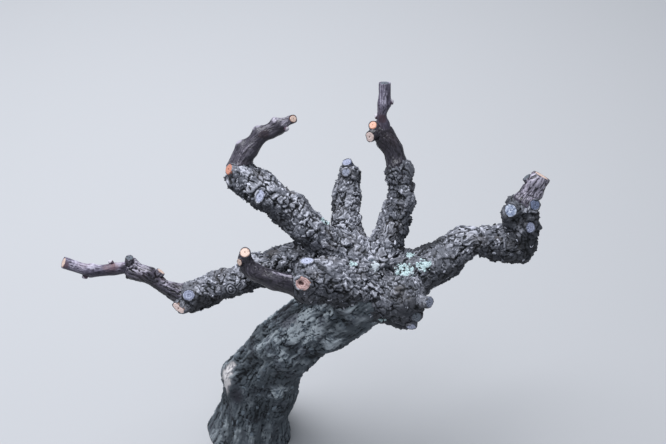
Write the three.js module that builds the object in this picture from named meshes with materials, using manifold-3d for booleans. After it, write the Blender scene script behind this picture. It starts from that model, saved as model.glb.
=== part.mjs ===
// An old free-standing grapevine, pruned bare for winter: a leaning, fluted trunk with a root
// flare, a knobbly head, seven stout arms spreading from it, and last year's short spurs and
// canes with their pruning cuts. Millimetres, +Z up, the ground is z = 0 and the origin is the
// middle of the flat cut where the trunk meets the ground.

import * as THREE from 'three';
import { mergeVertices } from 'three/addons/utils/BufferGeometryUtils.js';
import Module from 'manifold-3d';

const wasm = await Module();
wasm.setup();

// Clearance that touching pieces keep from one another.
const GAP = 0.35;

// Bark and wood finishes, by the age of the wood.
const FINISHES = {
  trunk_bark: { color: 0x3a3a40, roughness: 0.95 },
  arm_bark: { color: 0x55565c, roughness: 0.95 },
  spur_bark: { color: 0x3b3238, roughness: 0.85 },
  cane_bark: { color: 0x6d6070, roughness: 0.7 },
};

// How finely each kind of wood is faceted: sides round it, and the spacing of its rings.
const KINDS = {
  trunk: { finish: 'trunk_bark', sides: 36, spacing: 7.5 },
  arm: { finish: 'arm_bark', sides: 14, spacing: 7 },
  spur: { finish: 'spur_bark', sides: 9, spacing: 5 },
  cane: { finish: 'cane_bark', sides: 8, spacing: 4.5 },
};

// The slow waves of an old limb's outline: how often each goes round the limb, how fast it turns
// along one section between two stations, in radians, and its share of the whole swelling.
const WAVES = [
  { round: 1, along: 2.3, share: 0.30 },
  { round: 2, along: 1.1, share: 0.34 },
  { round: 3, along: -0.9, share: 0.26 },
  { round: 2, along: 3.7, share: 0.22 },
  { round: 4, along: 2.9, share: 0.16 },
  { round: 0, along: 4.6, share: 0.20 },
];

// Root flare at the ground: how far it stands out, the height it dies away over, and its lobes.
const FLARE = { reach: 9, height: 28, lobes: 4, lobe_share: 0.45, turn: 0.6 };

// Long rounded ridges of old bark that wind up the trunk with sharp furrows between: how many go
// round it, their height, how far they turn along one section, how far they wander from even
// spacing, in radians, and how much of their height comes and goes.
const RIDGES = { count: 9, height: 4.2, twist: 0.55, wander: 0.85, fading: 0.35 };

// Each limb is a path of stations, rows of x, y, z and radius. Angle 0 on its surface is the side
// that looks along facing. A row of knots holds: place along the path counted in sections, angle
// in degrees, height and spread. A row of stubs holds: place, angle, lean towards the tip in
// degrees, radius and height above the bark. A round end closes over that length.
const LIMBS = {
  trunk: {
    kind: 'trunk', seed: 4, swelling: 0.11, facing: [0, -1, 0], level_start: 0.2, round_end: 26,
    stations: [
      [0, 0, 0, 36], [14, 16, 70, 36], [39, 12, 140, 32], [76, 0, 200, 29.5], [113, -10, 248, 30],
      [148, -3, 284, 31],
    ],
    knots: [
      [1.35, -72, 8, 14], [0.9, 75, 6, 14], [2.45, 20, 4, 12], [3.2, 45, 5, 12], [3.6, 150, 6, 14],
      [4.3, -20, 6, 12], [4.5, 95, 7, 14], [2.9, 170, 6, 15], [1.9, 140, 5, 14],
    ],
    stubs: [],
  },
  arm_left: {
    kind: 'arm', seed: 11, swelling: 0.13, facing: [0, 0, 1], round_end: 9,
    stations: [
      [112, -2, 272, 21], [66, 9, 288, 16.5], [29, -2, 284, 14], [-5, -16, 279, 13],
      [-38, -27, 275, 14.5], [-47, -29, 275, 13],
    ],
    knots: [
      [1.5, -30, 4, 7], [2.1, 20, 4, 6], [2.7, -75, 4.5, 8], [3.2, 70, 4, 7], [4.0, -50, 4, 8],
    ],
    stubs: [[4.0, -36, 0, 6.2, 2.4], [4.6, -72, 38, 6.5, 6]],
  },
  spur_left: {
    kind: 'spur', seed: 21, swelling: 0.12, facing: [0, 0, 1], round_end: 5,
    stations: [
      [-42, -27, 276, 9.6], [-61, -24, 286, 6.8], [-76, -18, 296, 6.8], [-95, -13, 303, 7.4],
    ],
    knots: [[2.0, 0, 3, 4.5], [2.9, 60, 3, 4]],
    stubs: [[1.62, 32, 0, 4.2, 5], [2.92, 5, -10, 4.4, 6]],
  },
  cane_left: {
    kind: 'cane', seed: 22, swelling: 0.05, facing: [0, 0, 1],
    stations: [
      [-92, -13, 302, 5.8], [-106, -17, 303, 5.2], [-127, -22, 307, 5.3], [-150, -23, 319, 5.2],
    ],
    knots: [[1.0, 0, 1.6, 3.5], [1.0, 180, 1.2, 3.5], [1.95, 180, 1.8, 3.5], [1.95, 10, 1.0, 3.5]],
    stubs: [[1.1, 25, 35, 2.1, 3], [2.14, -150, 35, 2.1, 3]],
  },
  arm_front: {
    kind: 'arm', seed: 31, swelling: 0.12, facing: [0, 0, 1], round_end: 12,
    stations: [
      [122, -18, 276, 23], [92, -29, 297, 19], [60, -38, 309, 17],
    ],
    knots: [[1.0, 70, 4, 8], [1.4, -30, 4, 7]],
    stubs: [[1.86, -48, 6, 7.2, 5], [1.68, 26, 0, 7.5, 3]],
  },
  spur_front: {
    kind: 'spur', seed: 32, swelling: 0.1, facing: [0, -1, 0],
    stations: [
      [68, -37, 299, 9], [43, -37, 311, 8], [24, -33, 317, 7.2], [18, -29, 326, 6.2],
      [18, -26, 338, 5.4],
    ],
    knots: [[1.0, -60, 2, 5], [2.2, 120, 2.5, 5], [2.9, 200, 2, 3.5]],
    stubs: [[3.3, -66, 10, 3.6, 1.8]],
  },
  arm_back_left: {
    kind: 'arm', seed: 41, swelling: 0.13, facing: [0, 0, 1], round_end: 9,
    stations: [
      [118, 4, 284, 22], [85, 17, 310, 17], [57, 29, 332, 16.3], [30, 40, 350, 15.6],
      [11, 50, 361, 14], [2, 55, 366, 12],
    ],
    knots: [
      [1.4, -60, 4, 8], [2.0, 40, 4, 7], [2.5, -20, 3.5, 7], [3.1, 80, 4, 7], [3.9, -80, 3, 7],
    ],
    stubs: [[2.94, -58, 0, 6.5, 1.8], [4.7, -50, 55, 7, 2.5]],
  },
  spur_back_left: {
    kind: 'spur', seed: 42, swelling: 0.14, facing: [0, -1, 0.3],
    stations: [
      [7, 52, 364, 11], [15, 61, 378, 8.8], [31, 70, 391, 7], [47, 74, 399, 6.2],
      [53, 75.5, 403, 4.3], [63, 77, 407, 3.9],
    ],
    knots: [[1.3, 40, 2.5, 5], [2.0, -60, 2.5, 5], [2.9, 120, 2.6, 4.5], [3.0, -40, 2.4, 4]],
    stubs: [[3.45, 50, 35, 2.2, 3]],
  },
  arm_back: {
    kind: 'arm', seed: 51, swelling: 0.13, facing: [0, -1, 1], round_end: 8,
    stations: [
      [122, 8, 286, 17], [111, 38, 300, 13.5], [109, 68, 314, 12.3], [115, 92, 326, 11],
      [118, 98, 330, 10],
    ],
    knots: [[1.2, -50, 3.5, 6], [2.0, 60, 3.5, 6], [2.8, -10, 3, 5]],
    stubs: [[3.22, -28, 25, 5.2, 3.5], [2.66, -16, 0, 4.6, 2.5]],
  },
  arm_back_right: {
    kind: 'arm', seed: 61, swelling: 0.13, facing: [0, -1, 0.6], round_end: 8,
    stations: [
      [142, 6, 286, 17], [158, 36, 320, 13], [162, 57, 346, 11.5], [157, 70, 361, 10],
    ],
    knots: [[1.4, 40, 3, 6], [2.3, -60, 3, 6]],
    stubs: [],
  },
  spur_back_right: {
    kind: 'spur', seed: 64, swelling: 0.12, facing: [0, -1, 0],
    stations: [
      [162, 59, 348, 10], [155, 75, 366, 8.8], [147, 84, 377, 8.6], [140, 87, 384, 6.4],
      [133, 88, 391, 4.5],
    ],
    knots: [[1.2, 70, 2, 5], [1.8, -80, 2, 4.5], [2.3, 120, 2.4, 4]],
    stubs: [[2.9, -54, 10, 5.4, 5]],
  },
  cane_back_right: {
    kind: 'cane', seed: 62, swelling: 0.05, facing: [0, -1, 0],
    stations: [
      [147, 86, 380, 6.2], [143, 92, 396, 4.4], [145, 98, 409, 5.4], [145, 104, 427, 5.4],
    ],
    knots: [[0.6, 80, 1.6, 3.5], [1.9, 80, 1.4, 3.5], [1.9, -90, 1.2, 3.5]],
    stubs: [[1.0, -95, 35, 2.1, 2.8], [2.0, 85, 35, 2, 2.4]],
  },
  arm_right: {
    kind: 'arm', seed: 71, swelling: 0.13, facing: [0, 0, 1], round_end: 12,
    stations: [
      [156, -6, 278, 23], [198, 9, 284, 19.5], [228, 20, 300, 14], [254, 20, 299, 15.5],
      [270, 17, 298, 15], [288, 16, 301, 13],
    ],
    knots: [
      [1.2, 60, 3, 7], [1.9, -60, 4, 7], [2.5, 20, 4, 6], [3.1, -90, 4.5, 8], [3.6, 60, 3, 7],
    ],
    stubs: [[1.6, -125, 20, 5.5, 3]],
  },
  head_right: {
    kind: 'arm', seed: 72, swelling: 0.13, facing: [0, -1, 0], round_end: 8,
    stations: [
      [274, 17, 299, 15], [275, 21, 314, 14.5], [273, 29, 335, 14], [275, 33, 346, 11.5],
    ],
    knots: [[1.0, 70, 4, 6], [1.8, -70, 4, 6], [2.2, 60, 3.5, 5]],
    stubs: [[2.24, -44, 8, 6.8, 3], [2.92, 36, 10, 5, 2.5], [1.48, 24, 0, 5.4, 3]],
  },
  spur_right: {
    kind: 'spur', seed: 73, swelling: 0.12, facing: [0, -1, 0],
    stations: [
      [275, 31, 340, 11], [281, 36, 349, 9.4], [286, 40, 357, 8.8], [291, 44, 365, 8.2],
    ],
    knots: [[1.3, 60, 2, 4.5], [2.1, -60, 2.5, 4]],
    stubs: [[1.9, -110, 30, 4.6, 6]],
  },
  head_front_right: {
    kind: 'arm', seed: 81, swelling: 0.13, facing: [0, 0, 1], round_end: 13,
    stations: [
      [134, -16, 274, 26], [160, -26, 269, 24], [184, -31, 266, 22],
    ],
    knots: [[1.3, 40, 4, 7], [1.5, 110, 4, 7], [1.1, 0, 4, 8]],
    stubs: [[1.75, 32, 60, 5.2, 9], [1.72, 68, 0, 4.8, 1.5], [1.6, 98, 10, 5.2, 2.5]],
  },
};

// Which limbs hang together: each arm with the younger wood that grows from it.
const ARMS = {
  left: ['arm_left', 'spur_left', 'cane_left'],
  front: ['arm_front', 'spur_front'],
  back_left: ['arm_back_left', 'spur_back_left'],
  back: ['arm_back'],
  back_right: ['arm_back_right', 'spur_back_right', 'cane_back_right'],
  right: ['arm_right', 'head_right', 'spur_right'],
  front_right: ['head_front_right'],
};

const radians = THREE.MathUtils.degToRad;

// A repeatable angle for a seed and a count: the sine hash, taken as a share of a full turn.
function phase(seed, count) {
  const mixed = Math.sin(seed * 12.9898 + count * 78.233) * 43758.5453;
  return (mixed - Math.floor(mixed)) * 2 * Math.PI;
}

// The limb's path and the radius along it, as two curves over the same stations.
function curvesOf(limb) {
  const places = limb.stations.map(([x, y, z]) => new THREE.Vector3(x, y, z));
  const sizes = limb.stations.map(([, , , radius]) => new THREE.Vector3(radius, 0, 0));
  return {
    path: new THREE.CatmullRomCurve3(places, false, 'catmullrom', 0.5),
    radius: new THREE.CatmullRomCurve3(sizes, false, 'catmullrom', 0.5),
  };
}

// The frame at t along the path: its middle, the way it runs, and two directions across it. A
// level start keeps the first rings flat on the ground and turns them square further up.
function frameAt(limb, curves, t) {
  const along = curves.path.getTangent(t);
  if (limb.level_start) {
    const turned = THREE.MathUtils.smoothstep(t, 0, limb.level_start);
    along.lerp(new THREE.Vector3(0, 0, 1), 1 - turned).normalize();
  }
  const front = new THREE.Vector3(...limb.facing);
  front.addScaledVector(along, -front.dot(along)).normalize();
  const side = new THREE.Vector3().crossVectors(along, front);
  return { middle: curves.path.getPoint(t), along, front, side };
}

function outwardAt(frame, angle) {
  const across = frame.front.clone().multiplyScalar(Math.cos(angle));
  return across.addScaledVector(frame.side, Math.sin(angle));
}

// How far a ridge stands out at an angle and a place: a rounded crest, the size of a cosine, whose
// angle wanders to and fro round the trunk and along it.
function ridgeHeight(angle, place) {
  const wander = RIDGES.wander * (Math.sin(2 * angle + 1.9 * place) + Math.sin(angle - 2.7 * place));
  const crest = Math.abs(Math.cos(RIDGES.count / 2 * angle + RIDGES.twist * place + wander));
  const strength = 1 - RIDGES.fading * (1 + Math.cos(3 * angle + 3.1 * place)) / 2;
  return RIDGES.height * strength * (crest - 0.6);
}

// The radius at t and an angle, before the knots: the taper, the slow waves, and on the trunk its
// ridges and the root flare.
function plainRadius(limb, curves, t, angle) {
  const place = t * (limb.stations.length - 1);
  let waves = 0;
  WAVES.forEach((wave, count) => {
    waves += wave.share * Math.cos(wave.round * angle + wave.along * place + phase(limb.seed, count));
  });
  let radius = curves.radius.getPoint(t).x * (1 + limb.swelling * waves);
  if (limb.level_start) {
    const height = curves.path.getPoint(t).z;
    const lobes = 1 + FLARE.lobe_share * Math.cos(FLARE.lobes * angle + FLARE.turn);
    radius += FLARE.reach * lobes * Math.exp(-height / FLARE.height) + ridgeHeight(angle, place);
  }
  return radius;
}

// A point on the plain surface, that the knots and stubs are set out from.
function surfaceAt(limb, curves, place, degrees) {
  const t = place / (limb.stations.length - 1);
  const frame = frameAt(limb, curves, t);
  const outward = outwardAt(frame, radians(degrees));
  const point = frame.middle.clone();
  point.addScaledVector(outward, plainRadius(limb, curves, t, radians(degrees)));
  return { point, outward, along: frame.along };
}

// How much of the radius is left at t, where a round end closes over its last stretch.
function endRounding(limb, t, length) {
  if (!limb.round_end) return 1;
  const into = 1 - (1 - t) * length / limb.round_end;
  return into <= 0 ? 1 : Math.sqrt(Math.max(1 - into * into, 0.03));
}

function solidFrom(geometry) {
  const bare = geometry.index ? geometry.toNonIndexed() : geometry.clone();
  bare.deleteAttribute('normal');
  bare.deleteAttribute('uv');
  const merged = mergeVertices(bare, 1e-4);
  const mesh = new wasm.Mesh({
    numProp: 3,
    vertProperties: new Float32Array(merged.attributes.position.array),
    triVerts: new Uint32Array(merged.index.array),
  });
  return new wasm.Manifold(mesh);
}

function geometryFrom(solid) {
  const mesh = solid.getMesh();
  const geometry = new THREE.BufferGeometry();
  geometry.setAttribute('position', new THREE.BufferAttribute(mesh.vertProperties, 3));
  geometry.setIndex(new THREE.BufferAttribute(mesh.triVerts, 1));
  geometry.computeVertexNormals();
  return geometry;
}

// One limb without its stubs: a capped cylinder whose rings are carried along the path, with each
// ring point set to the radius there plus the knots near it.
function limbSolid(limb, curves, grow) {
  const { sides, spacing } = KINDS[limb.kind];
  const length = curves.path.getLength();
  const rings = Math.max(4, Math.round(length / spacing));
  const knots = limb.knots.map(([place, degrees, height, spread]) => (
    { centre: surfaceAt(limb, curves, place, degrees).point, height, spread }
  ));
  const geometry = new THREE.CylinderGeometry(1, 1, 1, sides, rings);
  const positions = geometry.attributes.position;
  const spot = new THREE.Vector3();
  for (let index = 0; index < positions.count; index += 1) {
    spot.fromBufferAttribute(positions, index);
    const t = spot.y + 0.5;
    const angle = Math.atan2(spot.x, spot.z);
    const share = Math.min(1, Math.hypot(spot.x, spot.z));
    const frame = frameAt(limb, curves, t);
    const outward = outwardAt(frame, angle);
    const plain = plainRadius(limb, curves, t, angle);
    const skin = frame.middle.clone().addScaledVector(outward, plain);
    let raised = 0;
    for (const knot of knots) {
      raised += knot.height * Math.exp(-skin.distanceToSquared(knot.centre) / (2 * knot.spread ** 2));
    }
    const radius = (plain + raised) * endRounding(limb, t, length) + grow;
    const endShift = t > 1 - 1e-9 ? grow : (t < 1e-9 && !limb.level_start ? -grow : 0);
    spot.copy(frame.middle).addScaledVector(outward, radius * share);
    spot.addScaledVector(frame.along, endShift);
    positions.setXYZ(index, spot.x, spot.y, spot.z);
  }
  return solidFrom(geometry);
}

// A pruning stub: a short tapered peg that stands out of the bark, leaning towards the tip.
const STUB = { sides: 12, taper: 1.18, root: 0.8 };

function stubSolid(limb, curves, [place, degrees, lean, radius, height], grow) {
  const { point, outward, along } = surfaceAt(limb, curves, place, degrees);
  const axis = outward.clone().multiplyScalar(Math.cos(radians(lean)));
  axis.addScaledVector(along, Math.sin(radians(lean)));
  const buried = radius * STUB.root;
  const tall = height + buried + grow;
  const peg = new THREE.CylinderGeometry(radius + grow, radius * STUB.taper + grow, tall, STUB.sides, 1);
  peg.translate(0, tall / 2 - buried, 0);
  peg.applyQuaternion(new THREE.Quaternion().setFromUnitVectors(new THREE.Vector3(0, 1, 0), axis));
  peg.translate(point.x, point.y, point.z);
  return solidFrom(peg);
}

// The whole limb with its stubs fused on, grown all over by a clearance where one is given.
function wholeLimb(limb, grow) {
  const curves = curvesOf(limb);
  return limb.stubs.reduce(
    (solid, stub) => solid.add(stubSolid(limb, curves, stub, grow)),
    limbSolid(limb, curves, grow),
  );
}

// The largest piece that is left of a limb where its neighbours have been cut away.
function largestPiece(solid) {
  return solid.decompose().reduce((best, piece) => (piece.volume() > best.volume() ? piece : best));
}

// Cuts each limb clear of those set before it, and makes it a mesh standing at its first station.
function buildMeshes() {
  const meshes = {};
  let taken = null;
  for (const [name, limb] of Object.entries(LIMBS)) {
    let solid = wholeLimb(limb, 0);
    if (taken) solid = largestPiece(solid.subtract(taken));
    const grown = wholeLimb(limb, GAP);
    taken = taken ? taken.add(grown) : grown;
    const [x, y, z] = limb.stations[0];
    const geometry = geometryFrom(solid);
    geometry.translate(-x, -y, -z);
    const finish = FINISHES[KINDS[limb.kind].finish];
    const mesh = new THREE.Mesh(geometry, new THREE.MeshStandardMaterial({ ...finish, metalness: 0 }));
    mesh.name = name;
    mesh.position.set(x, y, z);
    meshes[name] = mesh;
  }
  return meshes;
}

const grapevine = new THREE.Group();
const meshes = buildMeshes();
grapevine.add(meshes.trunk);
for (const names of Object.values(ARMS)) {
  const arm = new THREE.Group();
  names.forEach((name) => arm.add(meshes[name]));
  grapevine.add(arm);
}

export default grapevine;
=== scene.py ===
"""Dresses the solids of a pruned old grapevine: bark in relief, pruning cuts, flakes, lichen, buds.

Every skin is a grid worked out with numpy: rings along a limb, and sides round it. The limbs
follow the same rule as their solids: a path of stations, slow waves, ridges, knots and a root flare.
"""
import math
from dataclasses import dataclass

import bpy
import numpy as np
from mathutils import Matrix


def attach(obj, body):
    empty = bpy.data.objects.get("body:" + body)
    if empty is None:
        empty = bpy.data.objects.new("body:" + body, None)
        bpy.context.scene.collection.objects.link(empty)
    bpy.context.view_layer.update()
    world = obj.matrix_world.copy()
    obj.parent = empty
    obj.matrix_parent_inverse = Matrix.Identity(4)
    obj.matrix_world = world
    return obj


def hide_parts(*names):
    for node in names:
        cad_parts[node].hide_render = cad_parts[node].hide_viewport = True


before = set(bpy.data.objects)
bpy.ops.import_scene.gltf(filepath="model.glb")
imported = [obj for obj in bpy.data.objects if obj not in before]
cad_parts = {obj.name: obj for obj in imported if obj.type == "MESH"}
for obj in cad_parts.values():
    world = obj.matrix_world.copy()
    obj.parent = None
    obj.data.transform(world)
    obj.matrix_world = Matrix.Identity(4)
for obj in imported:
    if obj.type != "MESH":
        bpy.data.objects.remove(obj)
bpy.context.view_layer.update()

bl_info = {
    "name": "Pruned Grapevine",
    "version": (1, 0, 0),
    "blender": (4, 5, 0),
    "location": "3D View > Sidebar > Grapevine",
    "description": "Bark, pruning cuts, flakes, lichen and buds for an old pruned grapevine",
    "category": "Object",
}

# Lengths are worked out in millimetres and turned to metres where a mesh is made.
MM = 0.001
TURN = 2 * np.pi

# The slow waves of an old limb's outline: how often each goes round, how fast it turns along one
# section between two stations, in radians, and its share of the whole swelling.
WAVES = [
    (1, 2.3, 0.30), (2, 1.1, 0.34), (3, -0.9, 0.26), (2, 3.7, 0.22), (4, 2.9, 0.16), (0, 4.6, 0.20),
]

# Root flare at the ground: how far it stands out, the height it dies away over, how many lobes it
# has, how far they swell and shrink it as a share, and their turn round the trunk in radians.
FLARE = {"reach": 9, "height": 28, "lobes": 4, "lobe_share": 0.45, "turn": 0.6}

# Long rounded ridges that wind up the trunk with sharp furrows between: how many go round it, their
# height, how far they turn along one section, how far they wander from even spacing, in radians,
# how much of their height comes and goes, and how much of it is sunk under the plain surface.
RIDGES = {"count": 9, "height": 4.2, "twist": 0.55, "wander": 0.85, "fading": 0.35, "sunk": 0.6}

# The limbs. Kind is the sort of wood, and seed sets a limb's waves and bark apart from the others'.
# Swelling is the depth of its slow waves as a share of its radius. Stations are rows of x, y, z and
# radius, and angle 0 is the side that looks along facing. A level start stands upright on the ground
# and eases into its lean over that share of the path. A round end closes over so many millimetres.
# Knots: place in sections along the path, angle in degrees, height, spread. Stubs: place, angle, lean
# towards the tip in degrees, radius, height above the bark. Swirls, where bark has closed over an old
# cut: place, angle, radius. Weathered: rows of a place and the share there of the light tone that
# bark facing up gets, which is its weathering and painted light together. Smooth is how much of the
# bark's relief is lost, and fineness how much finer its pattern is.
LIMBS = {
    "trunk": {
        "kind": "trunk", "seed": 4, "swelling": 0.11, "facing": (0, -1, 0),
        "level_start": 0.2, "round_end": 26,
        "stations": [
            (0, 0, 0, 36), (14, 16, 70, 36), (39, 12, 140, 32), (76, 0, 200, 29.5),
            (113, -10, 248, 30), (148, -3, 284, 31),
        ],
        "weathered": [(0, 0.6), (2, 0.7), (3, 1.7)],
        "knots": [
            (1.3, -76, 10.5, 15), (0.9, 75, 6, 14), (2.45, 20, 4, 12), (3.2, 45, 5, 12),
            (3.6, 150, 6, 14), (4.3, -20, 6, 12), (4.5, 95, 7, 14), (2.9, 170, 6, 15),
            (1.9, 140, 5, 14),
        ],
        "stubs": [],
    },
    "arm_left": {
        "kind": "arm", "seed": 11, "swelling": 0.13, "facing": (0, 0, 1), "round_end": 9,
        "fineness": 1.1,
        "stations": [
            (112, -2, 272, 21), (66, 9, 288, 16.5), (29, -2, 284, 14), (-5, -16, 279, 13),
            (-38, -27, 275, 14.5), (-47, -29, 275, 13),
        ],
        "knots": [
            (1.5, -30, 4, 7), (2.1, 20, 4, 6), (2.7, -75, 4.5, 8), (3.2, 70, 4, 7),
            (4.0, -50, 4, 8), (2.95, 25, 3, 3.5), (2.35, 35, 2.5, 3.5),
        ],
        "swirls": [(2.92, -62, 5.5)],
        "weathered": [(0, 1.0), (3.5, 1.0), (4.2, 0.55)],
        "stubs": [(4.0, -36, 0, 5.6, 2.4), (4.75, -68, 41, 7.4, 4.8)],
    },
    "spur_left": {
        "kind": "spur", "seed": 21, "swelling": 0.12, "facing": (0, 0, 1), "round_end": 5,
        "stations": [
            (-42, -27, 276, 9.6), (-61, -24, 286, 6.8), (-76, -18, 296, 6.8), (-95, -13, 303, 7.4),
        ],
        "knots": [(2.0, 0, 3, 4.5), (2.9, 60, 3, 4), (2.7, -120, 3.8, 4.5), (2.3, -100, 2, 4)],
        "stubs": [(1.62, 40, 0, 4.4, 3.6), (2.96, 5, 14, 4.0, 4.2)],
    },
    "cane_left": {
        "kind": "cane", "seed": 22, "swelling": 0.05, "facing": (0, 0, 1),
        "stations": [
            (-92, -13, 302, 5.8), (-106, -17, 303, 5.2), (-127, -22, 307, 5.3),
            (-150, -23, 319, 5.2),
        ],
        "knots": [
            (1.0, 0, 1.6, 3.5), (1.0, 180, 1.2, 3.5), (1.95, 180, 2.6, 3.2), (1.95, 10, 1.8, 3.2),
        ],
        "stubs": [(1.1, 25, 35, 1.9, 3.8), (2.1, -150, 35, 2.2, 3.4)],
    },
    "arm_front": {
        "kind": "arm", "seed": 31, "swelling": 0.12, "facing": (0, 0, 1), "round_end": 12,
        "fineness": 1.1,
        "stations": [(122, -18, 276, 23), (92, -29, 297, 19), (60, -38, 309, 17)],
        "knots": [(1.0, 70, 4, 8), (1.4, -30, 4, 7)],
        "stubs": [(1.9, -48, 22, 7.2, 5), (1.68, 26, 0, 7.5, 3)],
    },
    "spur_front": {
        "kind": "spur", "seed": 32, "swelling": 0.1, "facing": (0, -1, 0), "smooth": 0.4,
        "weathered": [(0, 0.28), (4, 0.25)],
        "stations": [
            (68, -37, 299, 9), (43, -37, 311, 8), (24, -33, 317, 7.2), (18, -29, 326, 6.2),
            (18, -26, 338, 5.4),
        ],
        "knots": [(1.0, -60, 2, 5), (2.2, 120, 2.5, 5), (2.9, 200, 2, 3.5)],
        "stubs": [(3.3, -34, 10, 3.6, 1.8)],
    },
    "arm_back_left": {
        "kind": "arm", "seed": 41, "swelling": 0.13, "facing": (0, 0, 1), "round_end": 9,
        "weathered": [(0, 1.2), (2, 2.0)],
        "stations": [
            (118, 4, 284, 22), (85, 17, 310, 17), (57, 29, 332, 16.3), (30, 40, 350, 15.6),
            (11, 50, 361, 14), (2, 55, 366, 12),
        ],
        "knots": [
            (1.4, -60, 4, 8), (2.0, 40, 4, 7), (2.5, -20, 3.5, 7), (3.1, 80, 4, 7),
            (3.9, -80, 3, 7),
        ],
        "stubs": [(2.94, -56, 0, 6.0, 2.0), (4.7, -50, 55, 7, 2.5)],
    },
    "spur_back_left": {
        "kind": "spur", "seed": 42, "swelling": 0.14, "facing": (0, -1, 0.3), "smooth": 0.6,
        "weathered": [(0, 0.6), (3.4, 0.42), (4.2, 0.9)],
        "stations": [
            (7, 52, 364, 11), (15, 61, 378, 8.8), (31, 70, 391, 7), (47, 74, 399, 6.2),
            (53, 75.5, 403, 4.3), (63, 77, 407, 3.9),
        ],
        "knots": [
            (1.3, 40, 2.5, 5), (1.15, -112, 3.4, 4), (2.0, -108, 3.8, 4), (2.9, 120, 2.6, 4.5),
            (3.0, -105, 4, 3.5), (2.5, 30, 1.8, 3.5),
        ],
        "stubs": [(3.45, 50, 35, 2.2, 3)],
    },
    "arm_back": {
        "kind": "arm", "seed": 51, "swelling": 0.13, "facing": (0, -1, 1), "round_end": 8,
        "stations": [
            (122, 8, 286, 17), (111, 38, 300, 13.5), (109, 68, 314, 12.3), (115, 92, 326, 11),
            (118, 98, 330, 10),
        ],
        "knots": [(1.2, -50, 3.5, 6), (2.0, 60, 3.5, 6), (2.8, -10, 3, 5)],
        "stubs": [(3.22, -28, 25, 5.2, 3.5), (2.66, -16, 0, 4.6, 2.5)],
    },
    "arm_back_right": {
        "kind": "arm", "seed": 61, "swelling": 0.13, "facing": (0, -1, 0.6), "round_end": 8,
        "stations": [
            (142, 6, 286, 17), (158, 36, 320, 13), (162, 57, 346, 11.5), (157, 70, 361, 10),
        ],
        "weathered": [(1.5, 1.0), (2.5, 0.5)],
        "knots": [(1.4, 40, 3, 6), (2.3, -60, 3, 6)],
        "stubs": [],
    },
    "spur_back_right": {
        "kind": "spur", "seed": 64, "swelling": 0.12, "facing": (0, -1, 0), "smooth": 0.3,
        "weathered": [(0, 0.2), (4, 0.2)],
        "stations": [
            (162, 59, 348, 10), (155, 75, 366, 8.8), (147, 84, 377, 8.6), (140, 87, 384, 6.4),
            (133, 88, 391, 4.5),
        ],
        "knots": [(1.2, 70, 2, 5), (1.8, -80, 2, 4.5), (2.3, 120, 2.4, 4)],
        "stubs": [(3.14, -44, 22, 5.2, 4.9)],
    },
    "cane_back_right": {
        "kind": "cane", "seed": 62, "swelling": 0.05, "facing": (0, -1, 0),
        "stations": [
            (147, 86, 380, 6.2), (143, 92, 396, 4.4), (145, 98, 409, 5.4), (145, 104, 427, 5.4),
        ],
        "weathered": [(0, 0.1), (0.9, 0.2), (1.4, 0.8)],
        "knots": [(0.6, 80, 1.6, 3.5), (1.9, 80, 1.4, 3.5), (1.9, -90, 1.2, 3.5)],
        "stubs": [(1.0, -95, 35, 2.1, 2.8), (2.0, 85, 35, 2, 2.4)],
    },
    "arm_right": {
        "kind": "arm", "seed": 71, "swelling": 0.13, "facing": (0, 0, 1), "round_end": 12,
        "weathered": [(0, 0.9), (0.9, 0.6), (1.6, 0.9), (3.0, 1.0), (3.8, 0.2)],
        "stations": [
            (156, -6, 278, 23), (198, 9, 284, 19.5), (228, 20, 300, 14), (254, 20, 299, 15.5),
            (270, 17, 298, 15), (288, 16, 301, 13),
        ],
        "knots": [
            (1.2, 60, 3, 7), (1.9, -60, 4, 7), (2.5, 20, 4, 6), (3.1, -90, 4.5, 8),
            (3.6, 60, 3, 7),
        ],
        "stubs": [(1.6, -125, 20, 5.5, 3)],
    },
    "head_right": {
        "kind": "arm", "seed": 72, "swelling": 0.13, "facing": (0, -1, 0), "round_end": 8,
        "weathered": [(0.5, 0.15), (1.5, 0.45)],
        "stations": [
            (274, 17, 299, 15), (275, 21, 314, 14.5), (273, 29, 335, 14), (275, 33, 346, 11.5),
        ],
        "knots": [(1.0, 70, 4, 6), (1.8, -70, 4, 6), (2.2, 60, 3.5, 5)],
        "stubs": [(2.24, -44, 8, 6.8, 4.2), (2.92, 36, 25, 5, 2.5), (1.48, 24, 0, 5.4, 3)],
    },
    "spur_right": {
        "kind": "spur", "seed": 73, "swelling": 0.12, "facing": (0, -1, 0), "smooth": 0.2,
        "weathered": [(0, 0.9), (1, 2.1)],
        "stations": [
            (275, 31, 340, 11), (281, 36, 349, 9.4), (286, 40, 357, 8.8), (291, 44, 365, 8.2),
        ],
        "knots": [(1.3, 60, 2, 4.5), (2.1, -60, 2.5, 4)],
        "stubs": [(2.1, -104, 20, 4.6, 3)],
    },
    "head_front_right": {
        "kind": "arm", "seed": 81, "swelling": 0.13, "facing": (0, 0, 1), "round_end": 13,
        "fineness": 1.1,
        "weathered": [(0, 0.9), (1, 0.7)],
        "stations": [(134, -16, 274, 26), (160, -26, 269, 24), (184, -31, 266, 22)],
        "knots": [(1.3, 40, 4, 7), (1.5, 110, 1.5, 7), (1.1, 0, 4, 8)],
        "stubs": [(1.75, 32, 60, 5.2, 9), (1.72, 68, 0, 4.8, 1.5), (1.6, 98, 10, 5.2, 2.5)],
    },
}

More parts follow.
